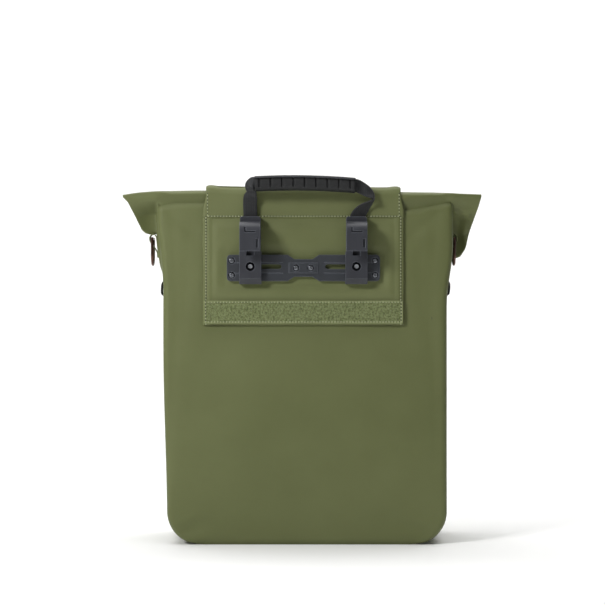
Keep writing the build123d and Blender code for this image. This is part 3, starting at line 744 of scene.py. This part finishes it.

# ---- Stitching: bonded polyester thread in a lockstitch, 3.4 mm pitch, along the panel's sides, its top
# seam and round the loop strip. Each stitch is a short rounded bar of thread lying in the cloth; between the
# stitches, dark beads paint the shade in the needle holes.

stitch_tree, stitch_in, stitch_out = tree_with_inputs(
    "Stitches",
    [
        ("Pitch", "NodeSocketFloat"), ("Stitch Length", "NodeSocketFloat"),
        ("Thread Radius", "NodeSocketFloat"), ("Material", "NodeSocketMaterial")
    ],
)
line = add(stitch_tree, "GeometryNodeMeshToCurve", Mesh=stitch_in.outputs["Geometry"])
spaced = add(
    stitch_tree, "GeometryNodeResampleCurve", {"mode": "LENGTH"}, Curve=line.outputs["Curve"],
    Length=stitch_in.outputs["Pitch"]
)
bead = add(stitch_tree, "GeometryNodeMeshUVSphere", {"Segments": 8, "Rings": 6, "Radius": 1.0})
heading = add(stitch_tree, "GeometryNodeInputTangent")
aim = add(stitch_tree, "FunctionNodeAlignRotationToVector", {"axis": "Z"}, Vector=heading.outputs["Tangent"])
shape = add(
    stitch_tree, "ShaderNodeCombineXYZ", X=stitch_in.outputs["Thread Radius"],
    Y=stitch_in.outputs["Thread Radius"], Z=stitch_in.outputs["Stitch Length"]
)
sewn = add(
    stitch_tree, "GeometryNodeInstanceOnPoints", Points=spaced.outputs["Curve"],
    Instance=bead.outputs["Mesh"], Rotation=aim.outputs["Rotation"], Scale=shape.outputs["Vector"]
)
joined = add(stitch_tree, "GeometryNodeRealizeInstances", Geometry=sewn.outputs["Instances"])
threaded = add(
    stitch_tree, "GeometryNodeSetMaterial", Geometry=joined.outputs["Geometry"],
    Material=stitch_in.outputs["Material"]
)
stitch_tree.links.new(threaded.outputs["Geometry"], stitch_out.inputs["Geometry"])


def polyline_host(name, lines):
    """Edge-only mesh of several open lines, for the stitch tree."""
    points, edges = [], []
    for path in lines:
        start = len(points)
        points += [tuple(np.asarray(p, float) * 0.001) for p in path]
        edges += [(start + i, start + i + 1) for i in range(len(path) - 1)]
    mesh = bpy.data.meshes.new(name)
    mesh.from_pydata(points, edges, [])
    host = bpy.data.objects.new(name, mesh)
    bpy.context.scene.collection.objects.link(host)
    return host


def plain_thread(name, light, dark):
    """Twisted thread with a faint slub."""
    material, tree, place = start_material(name)
    slub = add(tree, "ShaderNodeTexNoise", {"Scale": 700.0, "Detail": 2.0}, Vector=place)
    tone = add(
        tree, "ShaderNodeMix", {"data_type": "RGBA", 6: srgb(dark), 7: srgb(light)}, i0=slub.outputs["Fac"]
    )
    twist = add(tree, "ShaderNodeTexWave", {"bands_direction": "DIAGONAL", "Scale": 900.0}, Vector=place)
    bump = add(tree, "ShaderNodeBump", {"Strength": 0.5, "Distance": 0.0002}, Height=twist.outputs["Fac"])
    return surface(
        material, {"Roughness": 0.6, "IOR": 1.5}, Base_Color=tone.outputs[2], Normal=bump.outputs["Normal"]
    )


olive_thread = plain_thread("polyester thread, pale olive", "#C4C9A2", "#A2A880")
# Dark beads set between the stitches: painted shade in the needle holes.
needle_hole_shade = plain_thread("needle holes, painted shade", "#3A4029", "#2C311E")
seam_x = panel_half - 3.4
stitch_y = panel_face + 0.15
seam_lines = [
    [(side * seam_x, stitch_y, z) for z in np.linspace(panel_bottom + 1.5, panel_seam - 1, 30)]
    for side in (-1, 1)
]
seam_lines.append([(x, stitch_y - 0.25, panel_seam + 0.8) for x in np.linspace(-seam_x + 3, seam_x - 3, 30)])
tape_lines = []
for z in (tape_bottom + 1.7, tape_top - 1.6):
    tape_lines.append([(x, tape_face - 0.15, z) for x in np.linspace(-tape_half + 2, tape_half - 2, 30)])
end_z = np.linspace(tape_bottom + 2, tape_top - 2, 10)
for side in (-1, 1):
    tape_lines.append([(side * (tape_half - 2.0), tape_face - 0.15, z) for z in end_z])
flap_lines = [
    [(side * (panel_half - 5.2), stitch_y + 0.2, z) for z in np.linspace(panel_seam + 2, crest - 7, 12)]
    for side in (-1, 1)
]
stitch_values = {
    "Pitch": 0.0034, "Stitch Length": 0.00105, "Thread Radius": 0.00062, "Material": olive_thread
}
hole_shade_values = {"Pitch": 0.0034, "Stitch Length": 0.00064, "Thread Radius": 0.00074, "Material": needle_hole_shade}


def shifted(lines, amount):
    """The same lines started later along their length, so that holes fall between stitches."""
    moved = []
    for path in lines:
        step = np.asarray(path[-1], float) - np.asarray(path[0], float)
        step *= amount / np.linalg.norm(step)
        moved.append([tuple(np.asarray(p, float) + step) for p in path])
    return moved


panel_stitches = grow(
    polyline_host("seam_host", seam_lines + tape_lines), stitch_tree, stitch_values, "panel_stitches"
)
panel_hole_shade = grow(
    polyline_host("hole_host", shifted(seam_lines + tape_lines[2:], 1.7)), stitch_tree, hole_shade_values,
    "panel_needle_hole_shade"
)
for piece in (panel_stitches, panel_hole_shade):
    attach(piece, "bag")
flap_stitches = grow(polyline_host("flap_seam_host", flap_lines), stitch_tree, stitch_values, "flap_stitches")
flap_hole_shade = grow(
    polyline_host("flap_hole_host", shifted(flap_lines, 1.7)), stitch_tree, hole_shade_values, "flap_needle_hole_shade"
)
for piece in (flap_stitches, flap_hole_shade):
    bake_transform(piece)

# ---- Carrying grip: rubber moulded round the webbing, slightly arched, with nine finger grooves and
# a thin flange along its top, coloured lighter grey as a painted highlight of the grip's lit top.

grip_low, grip_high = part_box("grip")
grip_left = grip_low[0] * 1000
grip_right = grip_high[0] * 1000
grip_y = (grip_low[1] + grip_high[1]) * 500
grip_middle = (grip_left + grip_right) / 2


def grip_height(x):
    """Middle line of the arched grip."""
    t = (x - grip_middle) / (grip_right - grip_left)
    return 414.2 - 5.0 * t**2 * 1.6 - 1.9 * t


def rounded_section(half_y, half_z, radius, steps=5):
    """Points round a rounded rectangle in Y and Z."""
    points = []
    for cy, cz, start in ((1, 1, 0), (-1, 1, 90), (-1, -1, 180), (1, -1, 270)):
        for k in range(steps + 1):
            angle = radians(start + 90 * k / steps)
            points.append(
                (cy * (half_y - radius) + radius * cos(angle), cz * (half_z - radius) + radius * sin(angle))
            )
    return points


grip_stations = list(np.linspace(grip_left, grip_right, 115))
grip_rings = []
for x in [grip_left] + grip_stations + [grip_right]:
    first = len(grip_rings) == 0
    last = len(grip_rings) == len(grip_stations) + 1
    end = min(x - grip_left, grip_right - x)
    shrink = 0.86 if first or last else 0.94 if end < 0.4 else 1.0
    section = rounded_section(9.6 * shrink, 8.0 * shrink, 5.6 * shrink, 7)
    grip_rings.append([(x, grip_y + y, grip_height(x) - 0.8 + z) for y, z in section])
grip = loft("grip_rubber", grip_rings)


def grip_grooves(points):
    """Nine upright grooves in the front and back faces."""
    x, y, z = points.T
    move = np.zeros_like(points)
    height = z - np.array([grip_height(v) for v in x])
    tall = smooth_step(6.0, 4.2, np.abs(height - 0.4))
    for index in range(9):
        centre = grip_middle + (index - 4) * 12.9
        cut = smooth_step(1.5, 0.5, np.abs(x - centre))
        move[:, 1] -= np.sign(y - grip_y) * 1.6 * cut * tall * (np.abs(y - grip_y) > 5)
    return move


dense = grip.modifiers.new("fine", "SUBSURF")
dense.subdivision_type = "SIMPLE"
dense.levels = 1
dense.render_levels = 1
graph = bpy.context.evaluated_depsgraph_get()
grip_mesh = bpy.data.meshes.new_from_object(grip.evaluated_get(graph), depsgraph=graph)
grip.modifiers.remove(dense)
grip.data = grip_mesh
reshape(grip, grip_grooves)


def moulded(name, light, dark, roughness, grain, bevel=0.0, specular=0.5):
    """Moulded plastic or rubber: fine spark-eroded grain, cloudy tone, softened edges, and bevelled edges
    painted lighter as painted highlight and wear.
    """
    material, tree, place = start_material(name)
    cloud = add(tree, "ShaderNodeTexNoise", {"Scale": 60.0, "Detail": 4.0}, Vector=place)
    colour = add(
        tree, "ShaderNodeMix", {"data_type": "RGBA", 6: srgb(dark), 7: srgb(light)}, i0=cloud.outputs["Fac"]
    )
    grainy = add(tree, "ShaderNodeTexNoise", {"Scale": grain, "Detail": 2.0}, Vector=place)
    bump = add(tree, "ShaderNodeBump", {"Strength": 0.22, "Distance": 0.0002}, Height=grainy.outputs["Fac"])
    if bevel:
        soft = add(tree, "ShaderNodeBevel", {"samples": 6, "Radius": bevel})
        tree.links.new(soft.outputs["Normal"], bump.inputs["Normal"])
        # Bevelled edges get a lighter grey where the wider bevel's normal turns from the face normal: partly
        # a painted highlight along the edges, partly edge wear.
        edge = add(tree, "ShaderNodeBevel", {"samples": 6, "Radius": bevel * 1.6})
        faces = add(tree, "ShaderNodeNewGeometry")
        turned = add(
            tree, "ShaderNodeVectorMath", {"operation": "DOT_PRODUCT"}, i0=edge.outputs["Normal"],
            i1=faces.outputs["Normal"]
        )
        painted_highlight_mask = add(
            tree, "ShaderNodeMapRange", {"From Min": 0.80, "From Max": 0.985, "To Min": 0.75, "To Max": 0.0},
            Value=turned.outputs["Value"]
        )
        edge_highlight_and_wear = {"data_type": "RGBA", 7: srgb("#7B808A")}
        colour = add(tree, "ShaderNodeMix", edge_highlight_and_wear, i0=painted_highlight_mask.outputs["Result"], i6=colour.outputs[2])
    rough = add(
        tree, "ShaderNodeMapRange", {"To Min": roughness - 0.07, "To Max": roughness + 0.07},
        Value=cloud.outputs["Fac"]
    )
    return surface(
        material, {"IOR": 1.5, "Specular IOR Level": specular}, Base_Color=colour.outputs[2],
        Roughness=rough.outputs["Result"], Normal=bump.outputs["Normal"]
    )


grip_rubber = moulded("rubber, matt black", "#18191A", "#121314", 0.66, 1800.0)
grip.data.materials.append(grip_rubber)
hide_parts("grip")
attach(grip, "handle")
flange_rings = []
flange_x = np.linspace(grip_left - 0.6, grip_right + 0.4, 60)
for index, x in enumerate(flange_x):
    shrink = 0.8 if index in (0, len(flange_x) - 1) else 1.0
    section = rounded_section(10.2 * shrink, 1.25 * shrink, 1.0 * shrink, 4)
    flange_rings.append([(x, grip_y + y, grip_height(x) + 7.9 + z - 0.012 * y**2) for y, z in section])
grip_flange = loft("grip_flange", flange_rings)
# The flange's lighter grey is a painted highlight along the grip's top.
flange_top_highlight_rubber = moulded("rubber, grey black, painted top highlight", "#3E3F42", "#343538", 0.55, 1800.0)
grip_flange.data.materials.append(flange_top_highlight_rubber)
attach(grip_flange, "handle")

# ---- Handle webbing: 16 mm black polypropylene webbing. It runs through the grip, turns and twists at
# each end and goes straight down into the top of each hook, where it pulls the latch.


def ribbon(name, stations, thickness, per_span=10):
    """Flat webbing through stations (place, direction across it, width), twisting between them."""
    places = [np.array(s[0], float) for s in stations]
    sides = [np.array(s[1], float) / np.linalg.norm(s[1]) for s in stations]
    widths = [s[2] for s in stations]
    rings = []
    for i in range(len(stations) - 1):
        for t in np.linspace(0, 1, per_span, endpoint=i == len(stations) - 2):
            rings.append([spline(values, i, t) for values in (places, sides, widths)])
    line = np.array([r[0] for r in rings])
    tangent = np.gradient(line, axis=0)
    tangent /= np.linalg.norm(tangent, axis=1)[:, None]
    sections = []
    for (place, side, width), t in zip(rings, tangent):
        side = side - t * np.dot(side, t)
        side /= np.linalg.norm(side)
        normal = np.cross(t, side)
        ring = []
        for u in np.linspace(-1, 1, 13):
            edge = 0.55 if abs(u) == 1 else 1.0
            ring.append(place + side * width / 2 * u + normal * thickness / 2 * edge)
        for u in np.linspace(1, -1, 13):
            edge = 0.55 if abs(u) == 1 else 1.0
            ring.append(place + side * width / 2 * u - normal * thickness / 2 * edge)
        sections.append(ring)
    return loft(name, sections)


def woven_webbing(name, light, dark):
    """Flat woven webbing: fine ribs across it and a herringbone of yarns along it."""
    material, tree, place = start_material(name)
    ribs = add(
        tree, "ShaderNodeTexWave", {"bands_direction": "Z", "Scale": 190.0, "Distortion": 0.8, "Detail": 1.0},
        Vector=place
    )
    yarns = add(
        tree, "ShaderNodeTexWave", {"bands_direction": "X", "Scale": 150.0, "Distortion": 0.6}, Vector=place
    )
    weave = add(
        tree, "ShaderNodeMath", {"operation": "MULTIPLY"}, i0=ribs.outputs["Fac"], i1=yarns.outputs["Fac"]
    )
    tone = add(
        tree, "ShaderNodeMix", {"data_type": "RGBA", 6: srgb(dark), 7: srgb(light)}, i0=weave.outputs["Value"]
    )
    bump = add(tree, "ShaderNodeBump", {"Strength": 0.45, "Distance": 0.0004}, Height=weave.outputs["Value"])
    return surface(
        material, {"Roughness": 0.72, "IOR": 1.5, "Sheen Weight": 0.15, "Sheen Roughness": 0.4},
        Base_Color=tone.outputs[2], Normal=bump.outputs["Normal"]
    )


black_webbing = woven_webbing("polypropylene webbing, black", "#2E2F31", "#1D1E20")
strap_left_low, strap_left_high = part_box("strap_left")
strap_right_low, strap_right_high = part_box("strap_right")
strap_y = (strap_left_low[1] + strap_left_high[1]) * 500
left_x = (strap_left_low[0] + strap_left_high[0]) * 500
right_x = (strap_right_low[0] + strap_right_high[0]) * 500
left_stations = [
    ((grip_left + 8, grip_y, 413.4), (0, 0, 1), 13.0),
    ((grip_left - 0.5, grip_y, 413.8), (-0.1, 0, 1), 14.5),
    ((grip_left - 4.5, grip_y, 413.0), (-0.35, 0.45, 0.85), 14.5),
    ((grip_left - 7.0, grip_y + 0.5, 410.4), (-0.6, 0.6, 0.55), 13.0),
    ((grip_left - 6.6, grip_y + 1.5, 407.2), (-0.8, 0.6, 0.1), 11.5),
    ((left_x + 1.6, grip_y + 4, 403.4), (-1, 0.45, 0), 11.5),
    ((left_x + 0.2, grip_y + 6, 398.5), (-1, 0.1, 0), 15.6),
    ((left_x - 0.4, strap_y - 1.5, 391.0), (-1, 0, 0), 16.0),
    ((left_x, strap_y, 376.0), (-1, 0, 0), 16.0),
    ((left_x, strap_y, 354.0), (-1, 0, 0), 15.6),
]
strap_left = ribbon("strap_left_webbing", left_stations, 1.7)
right_stations = [
    ((grip_right - 8, grip_y, 411.5), (0, 0, 1), 13.0),
    ((grip_right + 0.5, grip_y, 411.3), (0.1, 0, 1), 14.5),
    ((grip_right + 6, grip_y, 409.0), (0.4, 0, 0.9), 14.0),
    ((grip_right + 13.5, grip_y + 1, 404.6), (0.6, 0.2, 0.75), 12.5),
    ((grip_right + 20.0, grip_y + 3, 399.6), (0.45, 0.75, 0.45), 9.5),
    ((grip_right + 20.8, grip_y + 5, 395.4), (0.25, 0.97, 0.0), 8.0),
    ((grip_right + 16.4, grip_y + 7, 391.0), (0.5, 0.80, -0.35), 10.5),
    ((right_x + 8.0, strap_y - 2, 385.0), (0.9, 0.35, -0.3), 14.0),
    ((right_x + 2.2, strap_y - 0.5, 378.0), (1, 0, -0.06), 16.0),
    ((right_x, strap_y, 371.0), (1, 0, 0), 16.0),
    ((right_x, strap_y, 354.0), (1, 0, 0), 15.6),
]
strap_right = ribbon("strap_right_webbing", right_stations, 1.7)
for piece, body in ((strap_left, "strap_left"), (strap_right, "strap_right")):
    piece.data.materials.append(black_webbing)
    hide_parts(body)
    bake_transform(piece)
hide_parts("strap_left", "handle_web")

# ---- Side loops and lower anchors: a folded loop of light woven tape holds each ring against the side,
# and a short black webbing tab with a folded end is sewn on lower down.


def side_skin(side, height):
    """X of the skin on one side at a height, where the loops are sewn."""
    reach = max(side * x for x, y, z in body_ring(height))
    return side * reach - (ring_dent if side > 0 else ring_bulge) * float(smooth_step(306, 322, height))


for label, side in (("left", -1), ("right", 1)):
    tab_low, tab_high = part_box("ring_tab_" + label)
    ring_low, ring_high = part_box("ring_" + label)
    bar_z = ring_high[2] * 1000 - 1.5
    bar_x = (ring_low[0] + ring_high[0]) * 500
    middle_y = (tab_low[1] + tab_high[1]) * 500
    foot_z = tab_low[2] * 1000
    path = [
        (side_skin(side, foot_z + up) + side * proud, foot_z + up)
        for up, proud in ((-1, -0.4), (5, 0.3), (14, 0.5), (23, 0.7))
    ]
    near_x = side_skin(side, bar_z) + side * 0.9
    far_x = bar_x + side * 3.4
    for k in range(7):
        angle = radians(165 - 27.5 * k)
        path.append(((near_x + far_x) / 2 + (far_x - near_x) / 2 * cos(angle), bar_z + 5.0 * sin(angle)))
    path += [(bar_x + side * 2.4, bar_z - 4), (bar_x - side * 1.0, bar_z - 9)]
    path += [(side_skin(side, foot_z + up) + side * 1.7, foot_z + up) for up in (8, 2)]
    stations = [((px, middle_y, pz), (0, 1, 0), 18.0) for px, pz in path]
    loop = ribbon("side_loop_" + label, stations, 0.9, 6)
    loop.data.materials.append(selvage_thread)
    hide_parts("ring_tab_" + label)
    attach(loop, "bag")
    low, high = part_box("anchor_tab_" + label)
    z_low, z_high = low[2] * 1000 + 1.5, high[2] * 1000 + 5
    levels = ((z_high, -0.4), (z_high - 3.5, 2.0), (z_low + 3, 2.6), (z_low, -0.2))
    anchor_path = [(side_skin(side, z) + side * proud, z) for z, proud in levels]
    anchor_stations = [((px, (low[1] + high[1]) * 500, pz), (0, 1, 0), 20.0) for px, pz in anchor_path]
    anchor = ribbon("anchor_webbing_" + label, anchor_stations, 1.5, 6)
    anchor.data.materials.append(black_webbing)
    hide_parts("anchor_tab_" + label)
    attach(anchor, "bag")

# ---- Front loop strip and the flap's hook tape: the two halves of the nylon fastener that keeps the bag
# rolled shut. One is sewn to the sloping front, the other under the flap's end.

front_low, front_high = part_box("front_loop_strip")
strip_a = np.array([front_high[1], front_low[2]]) * 1000
strip_b = np.array([front_low[1], front_high[2]]) * 1000
front_loop_path = [
    strip_a + (strip_b - strip_a) * t + np.array([0.6, 2.4])
    for t in np.linspace(0.01, 0.99, 24)
]
front_loop = slab_strip("front_loop_tape", front_loop_path, front_high[0] * 1000, 1.2, 60)
front_loop.data.materials.append(loop_knit)
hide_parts("front_loop_strip")
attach(front_loop, "bag")
hook_knit = knitted_tape("nylon hook tape, dark olive", "#5C6346", "#3C422C")
under = np.asarray(front_path[-16:], float)
slope = np.gradient(under, axis=0)
slope /= np.linalg.norm(slope, axis=1)[:, None]
tape_half_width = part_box("flap_tape")[1][0] * 1000
under = under[:-3] + np.stack([slope[:-3, 1], -slope[:-3, 0]], axis=1) * 1.5
flap_tape = slab_strip("flap_hook_tape", under, tape_half_width, 1.1, 60)
reshape(flap_tape, flap_shape)
flap_tape.data.materials.append(hook_knit)
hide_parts("flap_tape")
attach(flap_tape, "flap_front")

# ---- Hard pieces: moulded nylon hooks, rail and latches, steel fasteners, plastic boards and alloy plate.
# Their shapes come from the CAD nodes; here each gets its material, with painted highlight and wear on
# moulded edges, painted highlights on rivet crowns and screw heads, and painted shade round the screw heads.


def worked_metal(name, light, dark, roughness, bevel):
    """Plated or blackened steel: fine tumbling marks, cloudy plating, softened edges."""
    material, tree, place = start_material(name)
    cloud = add(tree, "ShaderNodeTexNoise", {"Scale": 260.0, "Detail": 5.0}, Vector=place)
    tone = add(
        tree, "ShaderNodeMix", {"data_type": "RGBA", 6: srgb(dark), 7: srgb(light)}, i0=cloud.outputs["Fac"]
    )
    scratch = add(tree, "ShaderNodeTexNoise", {"Scale": 1500.0, "Detail": 3.0}, Vector=place)
    soft = add(tree, "ShaderNodeBevel", {"samples": 6, "Radius": bevel})
    bump = add(
        tree, "ShaderNodeBump", {"Strength": 0.12, "Distance": 0.0001}, Height=scratch.outputs["Fac"],
        Normal=soft.outputs["Normal"]
    )
    rough = add(
        tree, "ShaderNodeMapRange", {"To Min": roughness - 0.06, "To Max": roughness + 0.08},
        Value=cloud.outputs["Fac"]
    )
    return surface(
        material, {"Metallic": 1.0}, Base_Color=tone.outputs[2], Roughness=rough.outputs["Result"],
        Normal=bump.outputs["Normal"]
    )


rail_nylon = moulded("glass-filled nylon, blue grey", "#33363C", "#2A2D32", 0.45, 1500.0, 0.0006)
hook_nylon = moulded("glass-filled nylon, dark grey", "#34363D", "#2C2D33", 0.45, 1500.0, 0.0006)
latch_nylon = moulded("nylon, black", "#1F2023", "#18191B", 0.45, 1500.0, 0.0004)
board_plastic = moulded("polyethylene sheet, black", "#2A2A2C", "#202022", 0.5, 600.0)
# Dark steel for the clamp washers, kept dark so that they read as part of the painted shade round the screw
# heads.
recess_shade_steel = worked_metal("blackened steel, polished by wear", "#4A4D55", "#2E3036", 0.20, 0.0006)


def rivet_with_painted_crown(name):
    """Blackened dome rivet with a painted highlight: the crown, where it faces -Y towards the front, is
    coloured bright.
    """
    material, tree, place = start_material(name)
    faces = add(tree, "ShaderNodeNewGeometry")
    facing = add(
        tree, "ShaderNodeVectorMath", {"operation": "DOT_PRODUCT", 1: (0.0, -1.0, 0.0)},
        i0=faces.outputs["Normal"]
    )
    # Painted highlight: faces turned towards -Y get the bright colour, the rest stays black.
    painted_highlight_mask = add(
        tree, "ShaderNodeMapRange", {"From Min": 0.90, "From Max": 0.995}, Value=facing.outputs["Value"]
    )
    cloud = add(tree, "ShaderNodeTexNoise", {"Scale": 600.0, "Detail": 3.0}, Vector=place)
    tone = add(
        tree, "ShaderNodeMix", {"data_type": "RGBA", 6: srgb("#1E1F22"), 7: srgb("#B4B8C0")},
        i0=painted_highlight_mask.outputs["Result"]
    )
    bump = add(tree, "ShaderNodeBump", {"Strength": 0.1, "Distance": 0.0001}, Height=cloud.outputs["Fac"])
    rough = add(tree, "ShaderNodeMapRange", {"To Min": 0.20, "To Max": 0.34}, Value=cloud.outputs["Fac"])
    return surface(
        material, {"Metallic": 1.0}, Base_Color=tone.outputs[2], Roughness=rough.outputs["Result"],
        Normal=bump.outputs["Normal"]
    )


screw_steel = worked_metal("zinc-plated steel", "#C9CCD2", "#A4A8B0", 0.28, 0.0003)


def screw_with_painted_light(name, centre_x, centre_z):
    """Button head painted dark as the shade of its recess, with a painted highlight as a bright disc round
    its axis.
    """
    material, tree, place = start_material(name)
    axes = add(tree, "ShaderNodeSeparateXYZ", Vector=place)
    across = add(tree, "ShaderNodeMath", {"operation": "SUBTRACT", 1: centre_x}, i0=axes.outputs["X"])
    rise = add(tree, "ShaderNodeMath", {"operation": "SUBTRACT", 1: centre_z}, i0=axes.outputs["Z"])
    flat = add(tree, "ShaderNodeCombineXYZ", X=across.outputs["Value"], Y=rise.outputs["Value"])
    radius = add(tree, "ShaderNodeVectorMath", {"operation": "LENGTH"}, i0=flat.outputs["Vector"])
    # Painted highlight within 2.1 mm of the axis, fading by 2.6 mm into the dark rim painted as the recess's
    # shade.
    painted_highlight_mask = add(
        tree, "ShaderNodeMapRange", {"From Min": 0.0021, "From Max": 0.0026, "To Min": 1.0, "To Max": 0.0},
        Value=radius.outputs["Value"]
    )
    cloud = add(tree, "ShaderNodeTexNoise", {"Scale": 700.0, "Detail": 3.0}, Vector=place)
    tone = add(
        tree, "ShaderNodeMix", {"data_type": "RGBA", 6: srgb("#1C1D20"), 7: srgb("#D6D9DF")},
        i0=painted_highlight_mask.outputs["Result"]
    )
    soft = add(tree, "ShaderNodeBevel", {"samples": 6, "Radius": 0.0004})
    bump = add(
        tree, "ShaderNodeBump", {"Strength": 0.1, "Distance": 0.0001}, Height=cloud.outputs["Fac"],
        Normal=soft.outputs["Normal"]
    )
    rough = add(tree, "ShaderNodeMapRange", {"To Min": 0.22, "To Max": 0.36}, Value=cloud.outputs["Fac"])
    return surface(
        material, {"Metallic": 1.0}, Base_Color=tone.outputs[2], Roughness=rough.outputs["Result"],
        Normal=bump.outputs["Normal"]
    )


ring_metal = worked_metal("dark bronze plating", "#7A5A50", "#4A3A38", 0.30, 0.0003)
sheet_alloy = worked_metal("plain aluminium sheet", "#C0C2C6", "#A8ABB0", 0.35, 0.0003)
finishes = {
    "rail": rail_nylon,
    "rail_rivets": rivet_with_painted_crown("blackened steel rivet, painted highlight on crown"),
    "backing_plate": sheet_alloy,
    "back_board": board_plastic,
    "base_board": board_plastic,
    "panel_board": board_plastic,
    "roll_batten": board_plastic,
}
for label in ("left", "right"):
    finishes["hook_body_" + label] = hook_nylon
    finishes["tube_insert_" + label] = latch_nylon
    finishes["latch_" + label] = latch_nylon
    finishes["ring_" + label] = ring_metal
    screw_low, screw_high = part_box("clamp_screw_" + label)
    screw_centre = [(low + high) / 2 for low, high in zip(screw_low, screw_high)]
    finishes["clamp_screw_" + label] = screw_with_painted_light(
        "black-oxide steel, " + label + " screw", screw_centre[0], screw_centre[2]
    )
    # The washers take the dark steel, as part of the painted shade in the screw recesses.
    finishes["clamp_washer_" + label] = recess_shade_steel
    for part in ("clamp_nut_", "latch_pin_", "latch_spring_"):
        finishes[part + label] = screw_steel
for node, material in finishes.items():
    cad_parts[node].data.materials.clear()
    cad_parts[node].data.materials.append(material)

# ---- Studio: a pale paper sweep, a small key light at the upper left, a large panel overhead, a light
# on the backdrop and a weak even sky.


def paper_material(name):
    """White paper, very slightly mottled."""
    material, tree, place = start_material(name)
    mottle = add(tree, "ShaderNodeTexNoise", {"Scale": 3.0}, Vector=place)
    tone = add(
        tree, "ShaderNodeMix", {"data_type": "RGBA", 6: srgb("#F4F4F3"), 7: srgb("#FAFAF9")},
        i0=mottle.outputs["Fac"]
    )
    return surface(material, {"Roughness": 0.9}, Base_Color=tone.outputs[2])


sweep_profile = [(-4000, 0), (1200, 0)]
sweep_profile += [(1200 + 900 * sin(a), 900 - 900 * cos(a)) for a in np.linspace(0.08, pi / 2, 16)]
sweep_profile += [(2100, 4500)]
sweep_points, sweep_faces = [], []
for i, (y, z) in enumerate(sweep_profile):
    sweep_points += [(-5000, y, z), (5000, y, z)]
    if i:
        k = 2 * i
        sweep_faces.append((k - 2, k - 1, k + 1, k))
sweep = mesh_piece("paper_sweep", sweep_points, sweep_faces)
sweep.data.materials.append(paper_material("white backing paper"))


def area_light(name, place, target, size, power, colour):
    """A rectangular lamp at a place, in metres, turned to its target."""
    lamp = bpy.data.lights.new(name, "AREA")
    lamp.shape = "RECTANGLE"
    lamp.size, lamp.size_y = size
    lamp.energy = power
    lamp.color = srgb(colour)[:3]
    holder = bpy.data.objects.new(name, lamp)
    holder.location = place
    holder.rotation_euler = (Vector(target) - Vector(place)).to_track_quat("-Z", "Y").to_euler()
    bpy.context.scene.collection.objects.link(holder)


area_light("key", (-0.95, -1.15, 1.0), (0, -0.05, 0.27), (0.36, 0.36), 15.6, "#FFFFFF")
area_light("overhead", (0, -0.35, 2.4), (0, -0.3, 0), (2.4, 1.4), 30, "#FFFFFF")
area_light("backdrop", (0, 0.7, 2.4), (0, 2.0, 0.6), (3.0, 1.0), 50, "#FFFFFF")
world = bpy.data.worlds.new("studio")
bpy.context.scene.world = world
world.use_nodes = True
sky = world.node_tree.nodes["Background"]
sky.inputs["Color"].default_value = srgb("#FFFFFF")
sky.inputs["Strength"].default_value = 0.06
bpy.context.scene.view_settings.view_transform = "Standard"
camera_data = bpy.data.cameras.new("camera")
camera_data.lens = 115.15
camera = bpy.data.objects.new("camera", camera_data)
camera.location = (-0.001, -2.29, 0.278)
camera.rotation_euler = (pi / 2, 0, 0)
bpy.context.scene.collection.objects.link(camera)
bpy.context.scene.camera = camera
